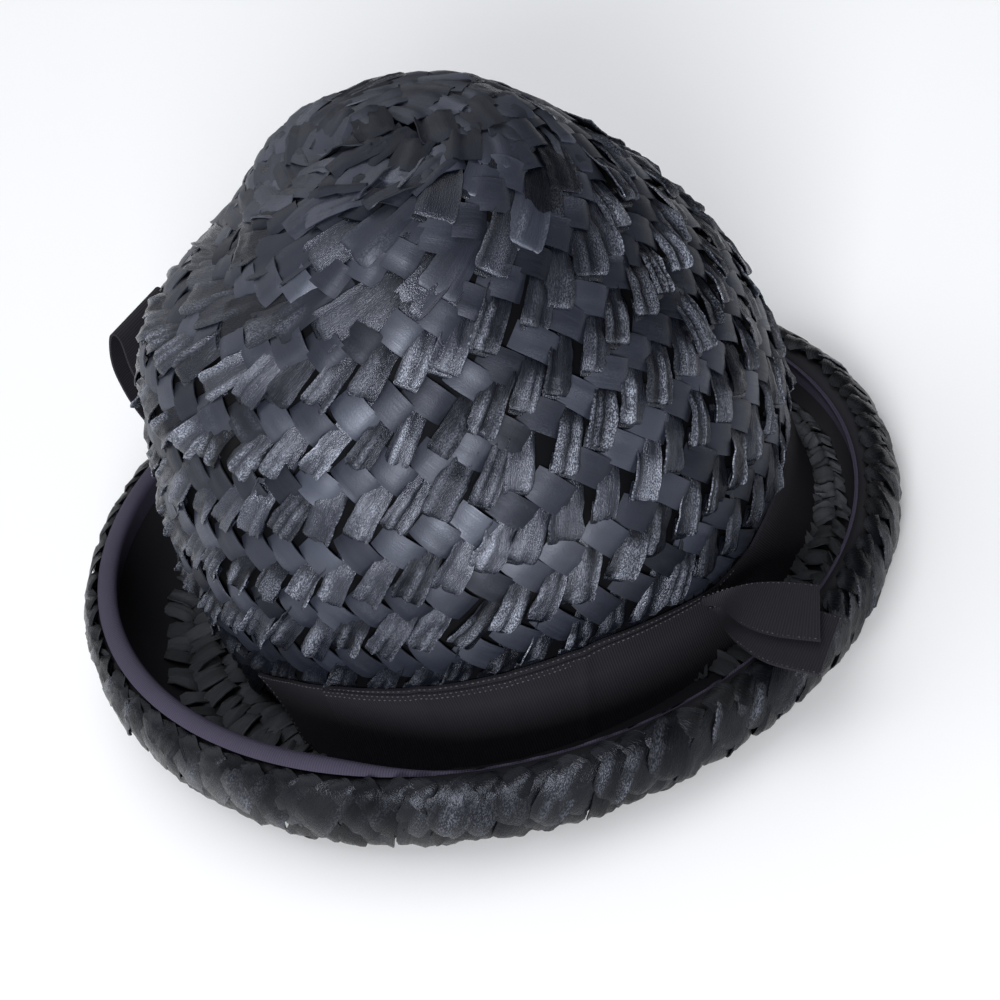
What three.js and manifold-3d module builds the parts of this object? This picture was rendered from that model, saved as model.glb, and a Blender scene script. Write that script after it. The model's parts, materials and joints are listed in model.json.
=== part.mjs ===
// A plaited-straw cloche hat: a tall crown sewn in a spiral, a brim rolled up all round, a narrow
// edge tape inside the brim's lip, and a grosgrain band that ends in two tails, with a loop behind.
// Millimetres, +Z up. The hat rests on the flat underside of its brim at Z = 0. Its front faces -Y
// and its wearer's right is -X. Angles run from +X towards +Y, so 90 is the back and 270 the front.
import * as THREE from 'three';
import { mergeVertices } from 'three/addons/utils/BufferGeometryUtils.js';
import Module from 'manifold-3d';

const wasm = await Module();
wasm.setup();

// Crown
const CROWN_HALF_WIDTH = 84; // ear to ear, outside the straw at the base
const CROWN_HALF_LENGTH = 92; // front to back
const CROWN_HEIGHT = 162;
const CROWN_LEAN_BACK = 7; // how far the top stands behind the base
const CROWN_LEAN_SIDE = 1;
const CROWN_FORWARD = 8.5; // how far the crown stands in front of the brim's middle
const STRAW_WALL = 1.8; // one thickness of sewn plait
const ROW_PITCH = 19.5; // what shows of one row of plait
const ROW_STEP = 2.6; // how far a row's lower edge stands over the row below
const SCALLOP_PITCH = 13.6; // from one folded strip end to the next
const TIP_ROWS = 0.25; // the share of a row that is left over at the crown's tip
const FULL_NOTCHES = 0.6; // notches grow shallower nearer the tip than this share of the radius
const PRESSED_ASIDE = [2, 8]; // degrees beside the band over which the straw rises again
const PRESSED_ABOVE = [1, 4]; // and millimetres above it
const HOLLOW_COLUMNS = 48;
const HOLLOW_LEVELS = 12;
const LEAN_CURVE = 1.3; // 1 leans the crown in a straight line, more bends it back near the top

// Brim
const BRIM_HALF_WIDTH = 121; // to the upright wall of the lip
const BRIM_HALF_LENGTH = 121;
const BRIM_FLAT = 12; // flat ring that the crown stands on and the hat rests on
const BRIM_SQUARENESS = 2.5; // 2 sweeps up in a quarter ellipse, more keeps the gutter flatter
const LIP_RISE = 24; // height of the lip's edge, on average
const LIP_TILT = 8; // how much higher it is at the back, and lower at the front
const LIP_CREST = 2.4; // thickness of the strips folded over the edge
const LIP_ROLL = 8; // how far the row folded over the edge stands out from the wall
const LIP_ROLL_FRONT = 1.8; // how much further at the front, and less at the back

// Ribbons
const RIBBON_THICK = 1.2;
const BAND_HEIGHT = 36;
const BAND_EASE = 0.8; // between the straw and the band
const TAPE_WIDTH = 7;
const TAPE_THICK = 0.8;
const BAND_STEP = 6; // degrees round the crown from one facet of the band to the next
const BAND_END_SLANT = 12; // degrees by which the folded end's foot is further round than its top
const TAIL_LENGTH = 45; // how far the two tails reach out from the band
const TAIL_ANGLE = 193; // where they spring from it
const TAIL_DROP = 3; // how far below the band's top edge
const LOOP_LENGTH = 62; // how far the loop reaches up and out
const LOOP_ANGLE = 392; // counted on from the tails, past the front
const LOOP_DROP = 7;

const PIECE_GAP = 0.3; // clearance between neighbouring pieces

// The crown's side view: height and radius, as shares of its height and of its base radius.
const CROWN_SHAPE = [
  { up: 0.0, out: 1.0 },
  { up: 0.14, out: 1.03 },
  { up: 0.28, out: 1.05 },
  { up: 0.42, out: 1.03 },
  { up: 0.56, out: 0.955 },
  { up: 0.7, out: 0.82 },
  { up: 0.82, out: 0.68 },
  { up: 0.91, out: 0.545 },
  { up: 0.97, out: 0.4 },
  { up: 1.0, out: 0.0 },
];

// One row of plait from its lower edge up: place along the row's pitch, and stand-off as a share of
// the row step, for a folded strip end and for the notch beside it.
const ROW_SHAPE = [
  { along: 0.0, stand: 1.0, notchAlong: 0.14, notchStand: 0.6 },
  { along: 0.5, stand: 0.75, notchAlong: 0.55, notchStand: 0.65 },
  { along: 0.95, stand: 0.0, notchAlong: 1.05, notchStand: 0.0 },
];

// Hand-pressed dents and swells of the crown: direction in degrees, height and depth as shares of
// the crown's height, and how wide each is in degrees. A negative depth swells outwards.
const CROWN_DENTS = [
  { angle: 72, up: 0.7, depth: -0.045, spread: 45, tall: 0.12 },
  { angle: 66, up: 0.92, depth: 0.05, spread: 40, tall: 0.12 },
  { angle: 200, up: 0.45, depth: -0.01, spread: 35, tall: 0.2 },
  { angle: 330, up: 0.5, depth: 0.018, spread: 30, tall: 0.2 },
  { angle: 20, up: 0.75, depth: 0.014, spread: 30, tall: 0.15 },
];

// The brim's outer face from the flat ring to the lip: place along its curve and stand-off as a
// share of the lip's roll, for a strip end and for the notch beside it. The second row's points
// show below the row that is folded over the lip, which hangs clear of the wall.
const BRIM_FACE = [
  { along: 0.28, stand: 0.0, notchAlong: 0.28, notchStand: 0.0 },
  { along: 0.36, stand: 0.5, notchAlong: 0.46, notchStand: 0.25 },
  { along: 0.68, stand: 0.1, notchAlong: 0.7, notchStand: 0.1 },
  { along: 0.56, stand: 1.0, notchAlong: 0.66, notchStand: 0.8 },
  { along: 0.8, stand: 0.92, notchAlong: 0.84, notchStand: 0.82 },
  { along: 1.0, stand: 0.4, notchAlong: 1.0, notchStand: 0.35 },
];

// The brim's inner face, from below the tape down to the flat ring, as places along its curve.
const BRIM_INSIDE = [{ along: 0.55 }, { along: 0.3 }, { along: 0.12 }];

// The band's upper edge round the crown, as a share of its height, from its folded end at the back
// on the wearer's right, round the front, to where it stops at the back on the wearer's left.
const BAND_EDGE = [
  { angle: 98, top: 0.55 },
  { angle: 110, top: 0.72 },
  { angle: 123, top: 0.82 },
  { angle: 156, top: 0.84 },
  { angle: 172, top: 0.82 },
  { angle: 186, top: 0.7 },
  { angle: 196, top: 0.6 },
  { angle: 207, top: 0.6 },
  { angle: 218, top: 0.75 },
  { angle: 230, top: 0.92 },
  { angle: 260, top: 1.0 },
  { angle: 320, top: 1.0 },
  { angle: 400, top: 0.96 },
];

// The tails from the band outwards: where the top and the low selvage of the ribbon run, outwards
// from the band, ahead towards the hat's front, and up from a line that leads from the tails' seat
// on the band to the lip's crest. All are shares of the tails' length.
const UPPER_TAIL = [
  { topOut: 0.0, topAhead: -0.06, topUp: 0.09, lowOut: 0.0, lowAhead: -0.05, lowUp: 0.02 },
  { topOut: 0.16, topAhead: 0.05, topUp: 0.14, lowOut: 0.16, lowAhead: -0.04, lowUp: 0.04 },
  { topOut: 0.32, topAhead: 0.16, topUp: 0.14, lowOut: 0.44, lowAhead: -0.14, lowUp: 0.06 },
  { topOut: 0.5, topAhead: 0.27, topUp: 0.12, lowOut: 0.7, lowAhead: -0.11, lowUp: 0.065 },
  { topOut: 0.67, topAhead: 0.37, topUp: 0.1, lowOut: 0.98, lowAhead: 0.02, lowUp: 0.055 },
];
const LOWER_TAIL = [
  { topOut: 0.0, topAhead: -0.03, topUp: -0.03, lowOut: 0.0, lowAhead: 0.02, lowUp: -0.1 },
  { topOut: 0.15, topAhead: 0.04, topUp: 0.01, lowOut: 0.17, lowAhead: -0.08, lowUp: -0.07 },
  { topOut: 0.37, topAhead: 0.14, topUp: 0.02, lowOut: 0.52, lowAhead: -0.24, lowUp: 0.0 },
  { topOut: 0.6, topAhead: 0.22, topUp: 0.01, lowOut: 0.93, lowAhead: -0.24, lowUp: 0.0 },
  { topOut: 0.84, topAhead: 0.26, topUp: 0.0, lowOut: 1.1, lowAhead: -0.12, lowUp: -0.02 },
  { topOut: 1.12, topAhead: 0.1, topUp: -0.03, lowOut: 1.16, lowAhead: 0.04, lowUp: -0.03 },
];
const TAIL_ON_LIP = 0.5; // the share of its length at which a tail has reached the lip's height

// The loop, up its outer layer, over its fold and back down: outwards and up from the band, and how
// far its two selvages stand to the back and to the front, as shares of the loop's length.
const LOOP_PATH = [
  { out: 0.0, up: 0.0, back: 0.06, front: -0.06 },
  { out: 0.2, up: 0.16, back: 0.14, front: -0.12 },
  { out: 0.36, up: 0.46, back: 0.22, front: -0.2 },
  { out: 0.46, up: 0.74, back: 0.2, front: -0.26 },
  { out: 0.48, up: 0.9, back: 0.13, front: -0.27 },
  { out: 0.42, up: 0.9, back: 0.13, front: -0.27 },
  { out: 0.34, up: 0.74, back: 0.2, front: -0.26 },
  { out: 0.22, up: 0.46, back: 0.22, front: -0.2 },
  { out: 0.09, up: 0.2, back: 0.14, front: -0.12 },
  { out: 0.0, up: 0.08, back: 0.06, front: -0.06 },
];

const radians = (degrees) => THREE.MathUtils.degToRad(degrees);
const wrapped = (degrees) => THREE.MathUtils.euclideanModulo(degrees + 180, 360) - 180;

function tableValue(rows, key, x, column) {
  const last = rows.length - 1;
  const next = Math.min(Math.max(rows.findIndex((row) => row[key] > x), 1), last);
  const index = x >= rows[last][key] ? last : next;
  const [a, b] = [rows[index - 1], rows[index]];
  const share = THREE.MathUtils.clamp((x - a[key]) / (b[key] - a[key]), 0, 1);
  return THREE.MathUtils.lerp(a[column], b[column], share);
}

// Solids

function geometryOf(points, index) {
  const geometry = new THREE.BufferGeometry();
  const numbers = points.flatMap((point) => point.toArray());
  geometry.setAttribute('position', new THREE.Float32BufferAttribute(numbers, 3));
  geometry.setIndex(index);
  return geometry;
}

function signedVolume(points, index) {
  let volume = 0;
  for (let i = 0; i < index.length; i += 3) {
    const [a, b, c] = [points[index[i]], points[index[i + 1]], points[index[i + 2]]];
    volume += a.dot(new THREE.Vector3().crossVectors(b, c)) / 6;
  }
  return volume;
}

function facingOut(points, index) {
  return geometryOf(points, signedVolume(points, index) < 0 ? index.toReversed() : index);
}

const HALVINGS = 24;

// Joins closed sections of as many points each into a ring, or into a strip with an end at each
// side. A section runs up one face of a wall and down the other, so its ends close as strips.
function loft(sections, isRing) {
  const size = sections[0].length;
  const index = [];
  const joins = isRing ? sections.length : sections.length - 1;
  for (let i = 0; i < joins; i += 1) {
    const j = (i + 1) % sections.length;
    for (let k = 0; k < size; k += 1) {
      const m = (k + 1) % size;
      index.push(i * size + k, j * size + k, j * size + m, i * size + k, j * size + m, i * size + m);
    }
  }
  if (!isRing) {
    const end = (sections.length - 1) * size;
    for (let k = 0; k < size / 2 - 1; k += 1) {
      const [a, b, c, d] = [k, k + 1, size - 2 - k, size - 1 - k];
      index.push(a, b, c, a, c, d, end + a, end + c, end + b, end + a, end + d, end + c);
    }
  }
  return facingOut(sections.flat(), index);
}

function manifoldOf(geometry) {
  const bare = new THREE.BufferGeometry().setAttribute('position', geometry.getAttribute('position'));
  bare.setIndex(geometry.index);
  const merged = mergeVertices(bare, 1e-3);
  return new wasm.Manifold(new wasm.Mesh({
    numProp: 3,
    vertProperties: merged.attributes.position.array,
    triVerts: new Uint32Array(merged.index.array),
  }));
}

function geometryFrom(manifold) {
  const { vertProperties, triVerts } = manifold.getMesh();
  const geometry = new THREE.BufferGeometry();
  geometry.setAttribute('position', new THREE.BufferAttribute(vertProperties, 3));
  geometry.setIndex(new THREE.BufferAttribute(triVerts, 1));
  return geometry;
}

// Crown

const crownBase = STRAW_WALL + PIECE_GAP; // it stands on the brim's flat ring
const crownRadius = (CROWN_HALF_WIDTH + CROWN_HALF_LENGTH) / 2;
const crownCurve = new THREE.SplineCurve(
  CROWN_SHAPE.map(({ up, out }) => new THREE.Vector2(out * crownRadius, up * CROWN_HEIGHT)),
);
crownCurve.arcLengthDivisions = 400;
const crownMeridian = crownCurve.getLength();

function dentDepth(angle, height) {
  return CROWN_DENTS.reduce((sum, dent) => {
    const aside = wrapped(angle - dent.angle) / dent.spread;
    const above = (height / CROWN_HEIGHT - dent.up) / dent.tall;
    return sum + dent.depth * CROWN_HEIGHT * Math.exp(-aside * aside - above * above);
  }, 0);
}

// A point of the crown at an angle and a distance up its side, standing off the bare straw.
function crownPoint(angle, distance, stand = 0) {
  const share = THREE.MathUtils.clamp(distance / crownMeridian, 0, 1);
  const point = crownCurve.getPointAt(share);
  const slope = crownCurve.getTangentAt(share);
  const off = stand - dentDepth(angle, point.y);
  const radius = (point.x + slope.y * off) / crownRadius;
  const height = point.y - slope.x * off + Math.min(distance, 0);
  const lean = Math.max(height / CROWN_HEIGHT, 0) ** LEAN_CURVE;
  return new THREE.Vector3(
    CROWN_HALF_WIDTH * radius * Math.cos(radians(angle)) + CROWN_LEAN_SIDE * lean,
    CROWN_HALF_LENGTH * radius * Math.sin(radians(angle)) + CROWN_LEAN_BACK * lean - CROWN_FORWARD,
    crownBase + height,
  );
}

const bandFrom = BAND_EDGE[0].angle;
const bandTo = BAND_EDGE.at(-1).angle;
const bandLow = STRAW_WALL + PIECE_GAP; // the band stands on the brim too
const bandTop = (angle) => bandLow + BAND_HEIGHT * tableValue(BAND_EDGE, 'angle', angle, 'top');

// The straw lies flat beneath the band: 1 in the open, 0 where the band presses it.
function rowStandAt(angle, height) {
  const along = THREE.MathUtils.euclideanModulo(angle - bandFrom, 360);
  const length = bandTo - bandFrom;
  const inside = Math.min(along > length ? Math.max(length - along, along - 360) : 0, 0);
  const openAside = THREE.MathUtils.smoothstep(-inside, ...PRESSED_ASIDE);
  const edge = bandTop(bandFrom + Math.min(along, length));
  const openAbove = THREE.MathUtils.smoothstep(height - edge, ...PRESSED_ABOVE);
  return Math.max(openAside, openAbove);
}

function crownGeometry() {
  const girth = Math.PI * (CROWN_HALF_WIDTH + CROWN_HALF_LENGTH);
  const columns = 2 * Math.round(girth / SCALLOP_PITCH);
  const rows = Math.floor(crownMeridian / ROW_PITCH - TIP_ROWS);
  const levels = rows * ROW_SHAPE.length;
  const points = [];
  const place = (column, level) => column * (levels + ROW_SHAPE.length + 1) + level;
  for (let column = 0; column < columns; column += 1) {
    const angle = (360 * column) / columns;
    for (let level = 0; level <= levels + ROW_SHAPE.length; level += 1) {
      const shape = ROW_SHAPE[level % ROW_SHAPE.length];
      const row = Math.floor(level / ROW_SHAPE.length) - 1;
      const turn = row + column / columns;
      const plain = crownPoint(angle, (turn + shape.along) * ROW_PITCH);
      const fromAxis = Math.hypot(plain.x, plain.y + CROWN_FORWARD) / crownRadius;
      const notchDepth = Math.min(1, fromAxis / FULL_NOTCHES);
      const isNotch = column % 2 === 1;
      const along = isNotch
        ? THREE.MathUtils.lerp(shape.along, shape.notchAlong, notchDepth)
        : shape.along;
      const stand = ROW_STEP * (isNotch ? shape.notchStand : shape.stand);
      points.push(crownPoint(
        angle,
        (turn + along) * ROW_PITCH,
        stand * rowStandAt(angle, plain.z),
      ));
    }
  }
  const index = [];
  for (let column = 0; column < columns; column += 1) {
    const isLast = column === columns - 1;
    const next = isLast ? 0 : column + 1;
    const shift = isLast ? ROW_SHAPE.length : 0; // the spiral gains one row each turn
    for (let level = 0; level < levels; level += 1) {
      const [a, b] = [place(column, level), place(next, level + shift)];
      index.push(a, b, b + 1, a, b + 1, a + 1);
    }
  }
  // The spiral's two ends close on the apex and on a point well below the base.
  const apex = points.push(crownPoint(0, crownMeridian, ROW_STEP)) - 1;
  const foot = points.push(new THREE.Vector3(0, -CROWN_FORWARD, crownBase - 3 * ROW_PITCH)) - 1;
  const turnRise = Array.from({ length: ROW_SHAPE.length }, (_, step) => step);
  const rim = (level) => [
    ...Array.from({ length: columns }, (_, column) => place(column, level)),
    ...turnRise.map((step) => place(0, level + ROW_SHAPE.length - step)),
  ];
  const [upper, lower] = [rim(levels), rim(0)];
  upper.forEach((vertex, i) => index.push(vertex, upper[(i + 1) % upper.length], apex));
  lower.forEach((vertex, i) => index.push(lower[(i + 1) % lower.length], vertex, foot));
  return facingOut(points, index);
}

function hollowGeometry() {
  const [columns, levels] = [HOLLOW_COLUMNS, HOLLOW_LEVELS];
  const points = [];
  const start = -2 * ROW_PITCH;
  const end = crownMeridian - TIP_ROWS * ROW_PITCH;
  for (let level = 0; level <= levels; level += 1) {
    const distance = THREE.MathUtils.lerp(start, end, level / levels);
    for (let column = 0; column < columns; column += 1) {
      points.push(crownPoint((360 * column) / columns, distance, -STRAW_WALL));
    }
  }
  const index = [];
  for (let level = 0; level < levels; level += 1) {
    for (let column = 0; column < columns; column += 1) {
      const [a, b] = [level * columns + column, level * columns + ((column + 1) % columns)];
      index.push(a, b, b + columns, a, b + columns, a + columns);
    }
  }
  const apex = points.push(crownPoint(0, crownMeridian, -STRAW_WALL)) - 1;
  const foot = points.push(new THREE.Vector3(0, -CROWN_FORWARD, crownBase + start)) - 1;
  for (let column = 0; column < columns; column += 1) {
    const next = (column + 1) % columns;
    index.push(levels * columns + column, levels * columns + next, apex, next, column, foot);
  }
  return facingOut(points, index);
}

function crown() {
  const shell = manifoldOf(crownGeometry()).subtract(manifoldOf(hollowGeometry()));
  return geometryFrom(shell.trimByPlane([0, 0, 1], crownBase));
}

// Brim

// A point of the brim's underside at an angle and a place from the flat ring (0) to the lip (1),
// as { distance, height } outwards from the brim's inner edge, with the normal of its upper side.
function brimCurve(angle, along) {
  const [inner, lip] = [brimInner(angle), brimLip(angle)];
  const reach = inner.distanceTo(lip) - BRIM_FLAT;
  const rise = LIP_RISE + LIP_TILT * Math.sin(radians(angle));
  const turn = (along * Math.PI) / 2;
  const bend = 2 / BRIM_SQUARENESS;
  const [out, up] = [Math.sin(turn) ** bend, 1 - Math.cos(turn) ** bend];
  const steep = [out, 1 - up].map((share) => share ** (BRIM_SQUARENESS - 1));
  return {
    distance: BRIM_FLAT + reach * out,
    height: rise * up,
    normal: new THREE.Vector2(-rise * steep[0], reach * steep[1]).normalize(),
    length: (Math.PI / 2) * Math.sqrt((reach * reach + rise * rise) / 2),
  };
}

function brimInner(angle) {
  return new THREE.Vector2(
    (CROWN_HALF_WIDTH - STRAW_WALL) * Math.cos(radians(angle)),
    (CROWN_HALF_LENGTH - STRAW_WALL) * Math.sin(radians(angle)) - CROWN_FORWARD,
  );
}

function brimLip(angle) {
  return new THREE.Vector2(
    BRIM_HALF_WIDTH * Math.cos(radians(angle)),
    BRIM_HALF_LENGTH * Math.sin(radians(angle)),
  );
}

// Puts a distance outwards from the brim's inner edge, and a height, into space.
function brimPoint(angle, distance, height) {
  const inner = brimInner(angle);
  const outward = brimLip(angle).sub(inner).normalize();
  return new THREE.Vector3(inner.x + outward.x * distance, inner.y + outward.y * distance, height);
}

function brimSurface(angle, along, off) {
  const { distance, height, normal } = brimCurve(angle, along);
  return brimPoint(angle, distance + normal.x * off, height + normal.y * off);
}

const tapeAlong = (angle) => 1 - TAPE_WIDTH / brimCurve(angle, 1).length;

function brimSection(angle, isNotch) {
  const roll = LIP_ROLL - LIP_ROLL_FRONT * Math.sin(radians(angle));
  const outside = BRIM_FACE.map((row) => brimSurface(
    angle,
    isNotch ? row.notchAlong : row.along,
    -roll * (isNotch ? row.notchStand : row.stand),
  )).map((point) => point.setZ(Math.max(point.z, 0)));
  const crest = brimSurface(angle, 1, STRAW_WALL / 2).setZ(brimCurve(angle, 1).height + LIP_CREST);
  const inside = BRIM_INSIDE.map(({ along }) => brimSurface(angle, along * tapeAlong(angle), STRAW_WALL));
  return [
    brimPoint(angle, 0, 0),
    brimPoint(angle, BRIM_FLAT, 0),
    ...outside,
    crest,
    brimSurface(angle, 1, STRAW_WALL),
    brimSurface(angle, tapeAlong(angle), STRAW_WALL),
    ...inside,
    brimPoint(angle, BRIM_FLAT, STRAW_WALL),
    brimPoint(angle, 0, STRAW_WALL),
  ];
}

const brimGirth = Math.PI * (BRIM_HALF_WIDTH + BRIM_HALF_LENGTH);
const brimColumns = 2 * Math.round(brimGirth / SCALLOP_PITCH);

function brim() {
  return loft(
    Array.from({ length: brimColumns }, (_, i) => brimSection((360 * i) / brimColumns, i % 2 === 1)),
    true,
  );
}

// The tape lies on the flat top stretch of the brim's inner face.
function edgeTape() {
  const columns = brimColumns / 2;
  return loft(Array.from({ length: columns }, (_, i) => {
    const angle = (360 * i) / columns;
    const [top, low] = [1, tapeAlong(angle)].map((along) => brimCurve(angle, along));
    const up = new THREE.Vector2(top.distance - low.distance, top.height - low.height);
    const [near, far] = [PIECE_GAP, PIECE_GAP + TAPE_THICK].map((gap) => {
      const off = new THREE.Vector2(-up.y, up.x).normalize().multiplyScalar(gap);
      return [low, top].map(({ distance, height, normal }) => brimPoint(
        angle,
        distance + normal.x * STRAW_WALL + off.x,
        height + normal.y * STRAW_WALL + off.y,
      ));
    });
    return [...near, ...far.toReversed()];
  }), true);
}

// Band

// A point on the band's ribbon: at an angle and a share of its height, off its inner face.
function bandPoint(angle, share, off) {
  const height = bandLow + (bandTop(angle) - bandLow) * share;
  return crownPoint(angle, distanceAtHeight(height - crownBase), BAND_EASE + off);
}

function distanceAtHeight(height) {
  let [low, high] = [0, 1];
  for (let step = 0; step < HALVINGS; step += 1) {
    const middle = (low + high) / 2;
    if (crownCurve.getPointAt(middle).y < height) low = middle;
    else high = middle;
  }
  return low * crownMeridian;
}

function ribbonSection(shares, face) {
  const inner = shares.map((share) => face(share, 0));
  const outer = shares.map((share) => face(share, RIBBON_THICK));
  return [...outer, ...inner.toReversed()];
}

function band() {
  const columns = Math.ceil((bandTo - bandFrom) / BAND_STEP);
  return loft(Array.from({ length: columns + 1 }, (_, i) => (
    ribbonSection([0, 1 / 3, 2 / 3, 1], (share, off) => {
      const start = bandFrom + BAND_END_SLANT * (1 - share);
      return bandPoint(start + ((bandTo - start) * i) / columns, share, off);
    })
  )), false);
}

// A place against the band's outer face, with the directions out from it and round it.
function bandSeat(angle, height) {
  const seatAt = (direction) => crownPoint(
    direction,
    distanceAtHeight(height - crownBase),
    BAND_EASE + RIBBON_THICK + PIECE_GAP,
  );
  const round = seatAt(angle + 1).sub(seatAt(angle - 1)).setZ(0).normalize();
  return { seat: seatAt(angle), round, out: new THREE.Vector3(round.y, -round.x, 0) };
}

// A length of ribbon between two selvages, each drawn smoothly through its points.
function ribbon(topPoints, lowPoints) {
  const [top, low] = [topPoints, lowPoints].map((points) => new THREE.CatmullRomCurve3(points));
  const steps = 3 * (topPoints.length - 1);
  return loft(Array.from({ length: steps + 1 }, (_, i) => {
    const [a, b] = [top.getPoint(i / steps), low.getPoint(i / steps)];
    const along = top.getTangent(i / steps).add(low.getTangent(i / steps));
    const off = along.cross(b.clone().sub(a)).setLength(RIBBON_THICK / 2);
    const across = [a, a.clone().lerp(b, 0.5), b];
    return [
      ...across.map((point) => point.clone().add(off)),
      ...across.toReversed().map((point) => point.clone().sub(off)),
    ];
  }), false);
}

// From a seat to the middle of a ribbon that springs from it.
const rootGap = PIECE_GAP + RIBBON_THICK / 2;

function tail(table) {
  const { seat, round, out } = bandSeat(TAIL_ANGLE, bandTop(TAIL_ANGLE) - TAIL_DROP);
  const onLip = brimCurve(TAIL_ANGLE, 1).height + LIP_CREST + PIECE_GAP + RIBBON_THICK / 2;
  const place = (outwards, ahead, up) => seat.clone()
    .addScaledVector(out, TAIL_LENGTH * outwards + rootGap)
    .addScaledVector(round, TAIL_LENGTH * ahead)
    .setZ(TAIL_LENGTH * up + THREE.MathUtils.lerp(
      seat.z,
      onLip,
      THREE.MathUtils.smoothstep(outwards, 0, TAIL_ON_LIP),
    ));
  return ribbon(
    table.map((row) => place(row.topOut, row.topAhead, row.topUp)),
    table.map((row) => place(row.lowOut, row.lowAhead, row.lowUp)),
  );
}

function sideLoop() {
  const { seat, round, out } = bandSeat(LOOP_ANGLE, bandTop(LOOP_ANGLE) - LOOP_DROP);
  const place = (outwards, ahead, up) => seat.clone()
    .addScaledVector(out, LOOP_LENGTH * outwards + rootGap)
    .addScaledVector(round, LOOP_LENGTH * ahead)
    .setZ(seat.z + LOOP_LENGTH * up);
  return ribbon(
    LOOP_PATH.map((row) => place(row.out, row.back, row.up)),
    LOOP_PATH.map((row) => place(row.out, row.front, row.up)),
  );
}

const straw = new THREE.MeshStandardMaterial({ color: 0x23252e, roughness: 0.42, metalness: 0 });
const grosgrain = new THREE.MeshStandardMaterial({ color: 0x1b1a1f, roughness: 0.85, metalness: 0 });
const tape = new THREE.MeshStandardMaterial({ color: 0x3c3850, roughness: 0.8, metalness: 0 });

const hat = new THREE.Group();
const pieces = [
  { name: 'crown', geometry: crown(), material: straw },
  { name: 'brim', geometry: brim(), material: straw },
  { name: 'edge_tape', geometry: edgeTape(), material: tape },
  { name: 'band', geometry: band(), material: grosgrain },
  { name: 'tail_upper', geometry: tail(UPPER_TAIL), material: grosgrain },
  { name: 'tail_lower', geometry: tail(LOWER_TAIL), material: grosgrain },
  { name: 'side_loop', geometry: sideLoop(), material: grosgrain },
];
for (const { name, geometry, material } of pieces) {
  const mesh = new THREE.Mesh(geometry, material);
  mesh.name = name;
  hat.add(mesh);
}

// The origin is below the middle of the whole hat.
const middle = new THREE.Box3().setFromObject(hat).getCenter(new THREE.Vector3());
hat.children.forEach(({ geometry }) => geometry.translate(-middle.x, -middle.y, 0));

export default hat;
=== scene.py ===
# %% [markdown]
# # A plaited-straw cloche hat
# The hat is sewn from raffia, which is a flat, glossy ribbon of palm leaf. A braid of it is wound
# round and round from the tip of the crown to the edge of the brim, each turn over the one below.
# The CAD model already has the hat's true shape. Here each piece of it gets its real surface.

# %% Load the frame
import json
import math
import random

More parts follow.
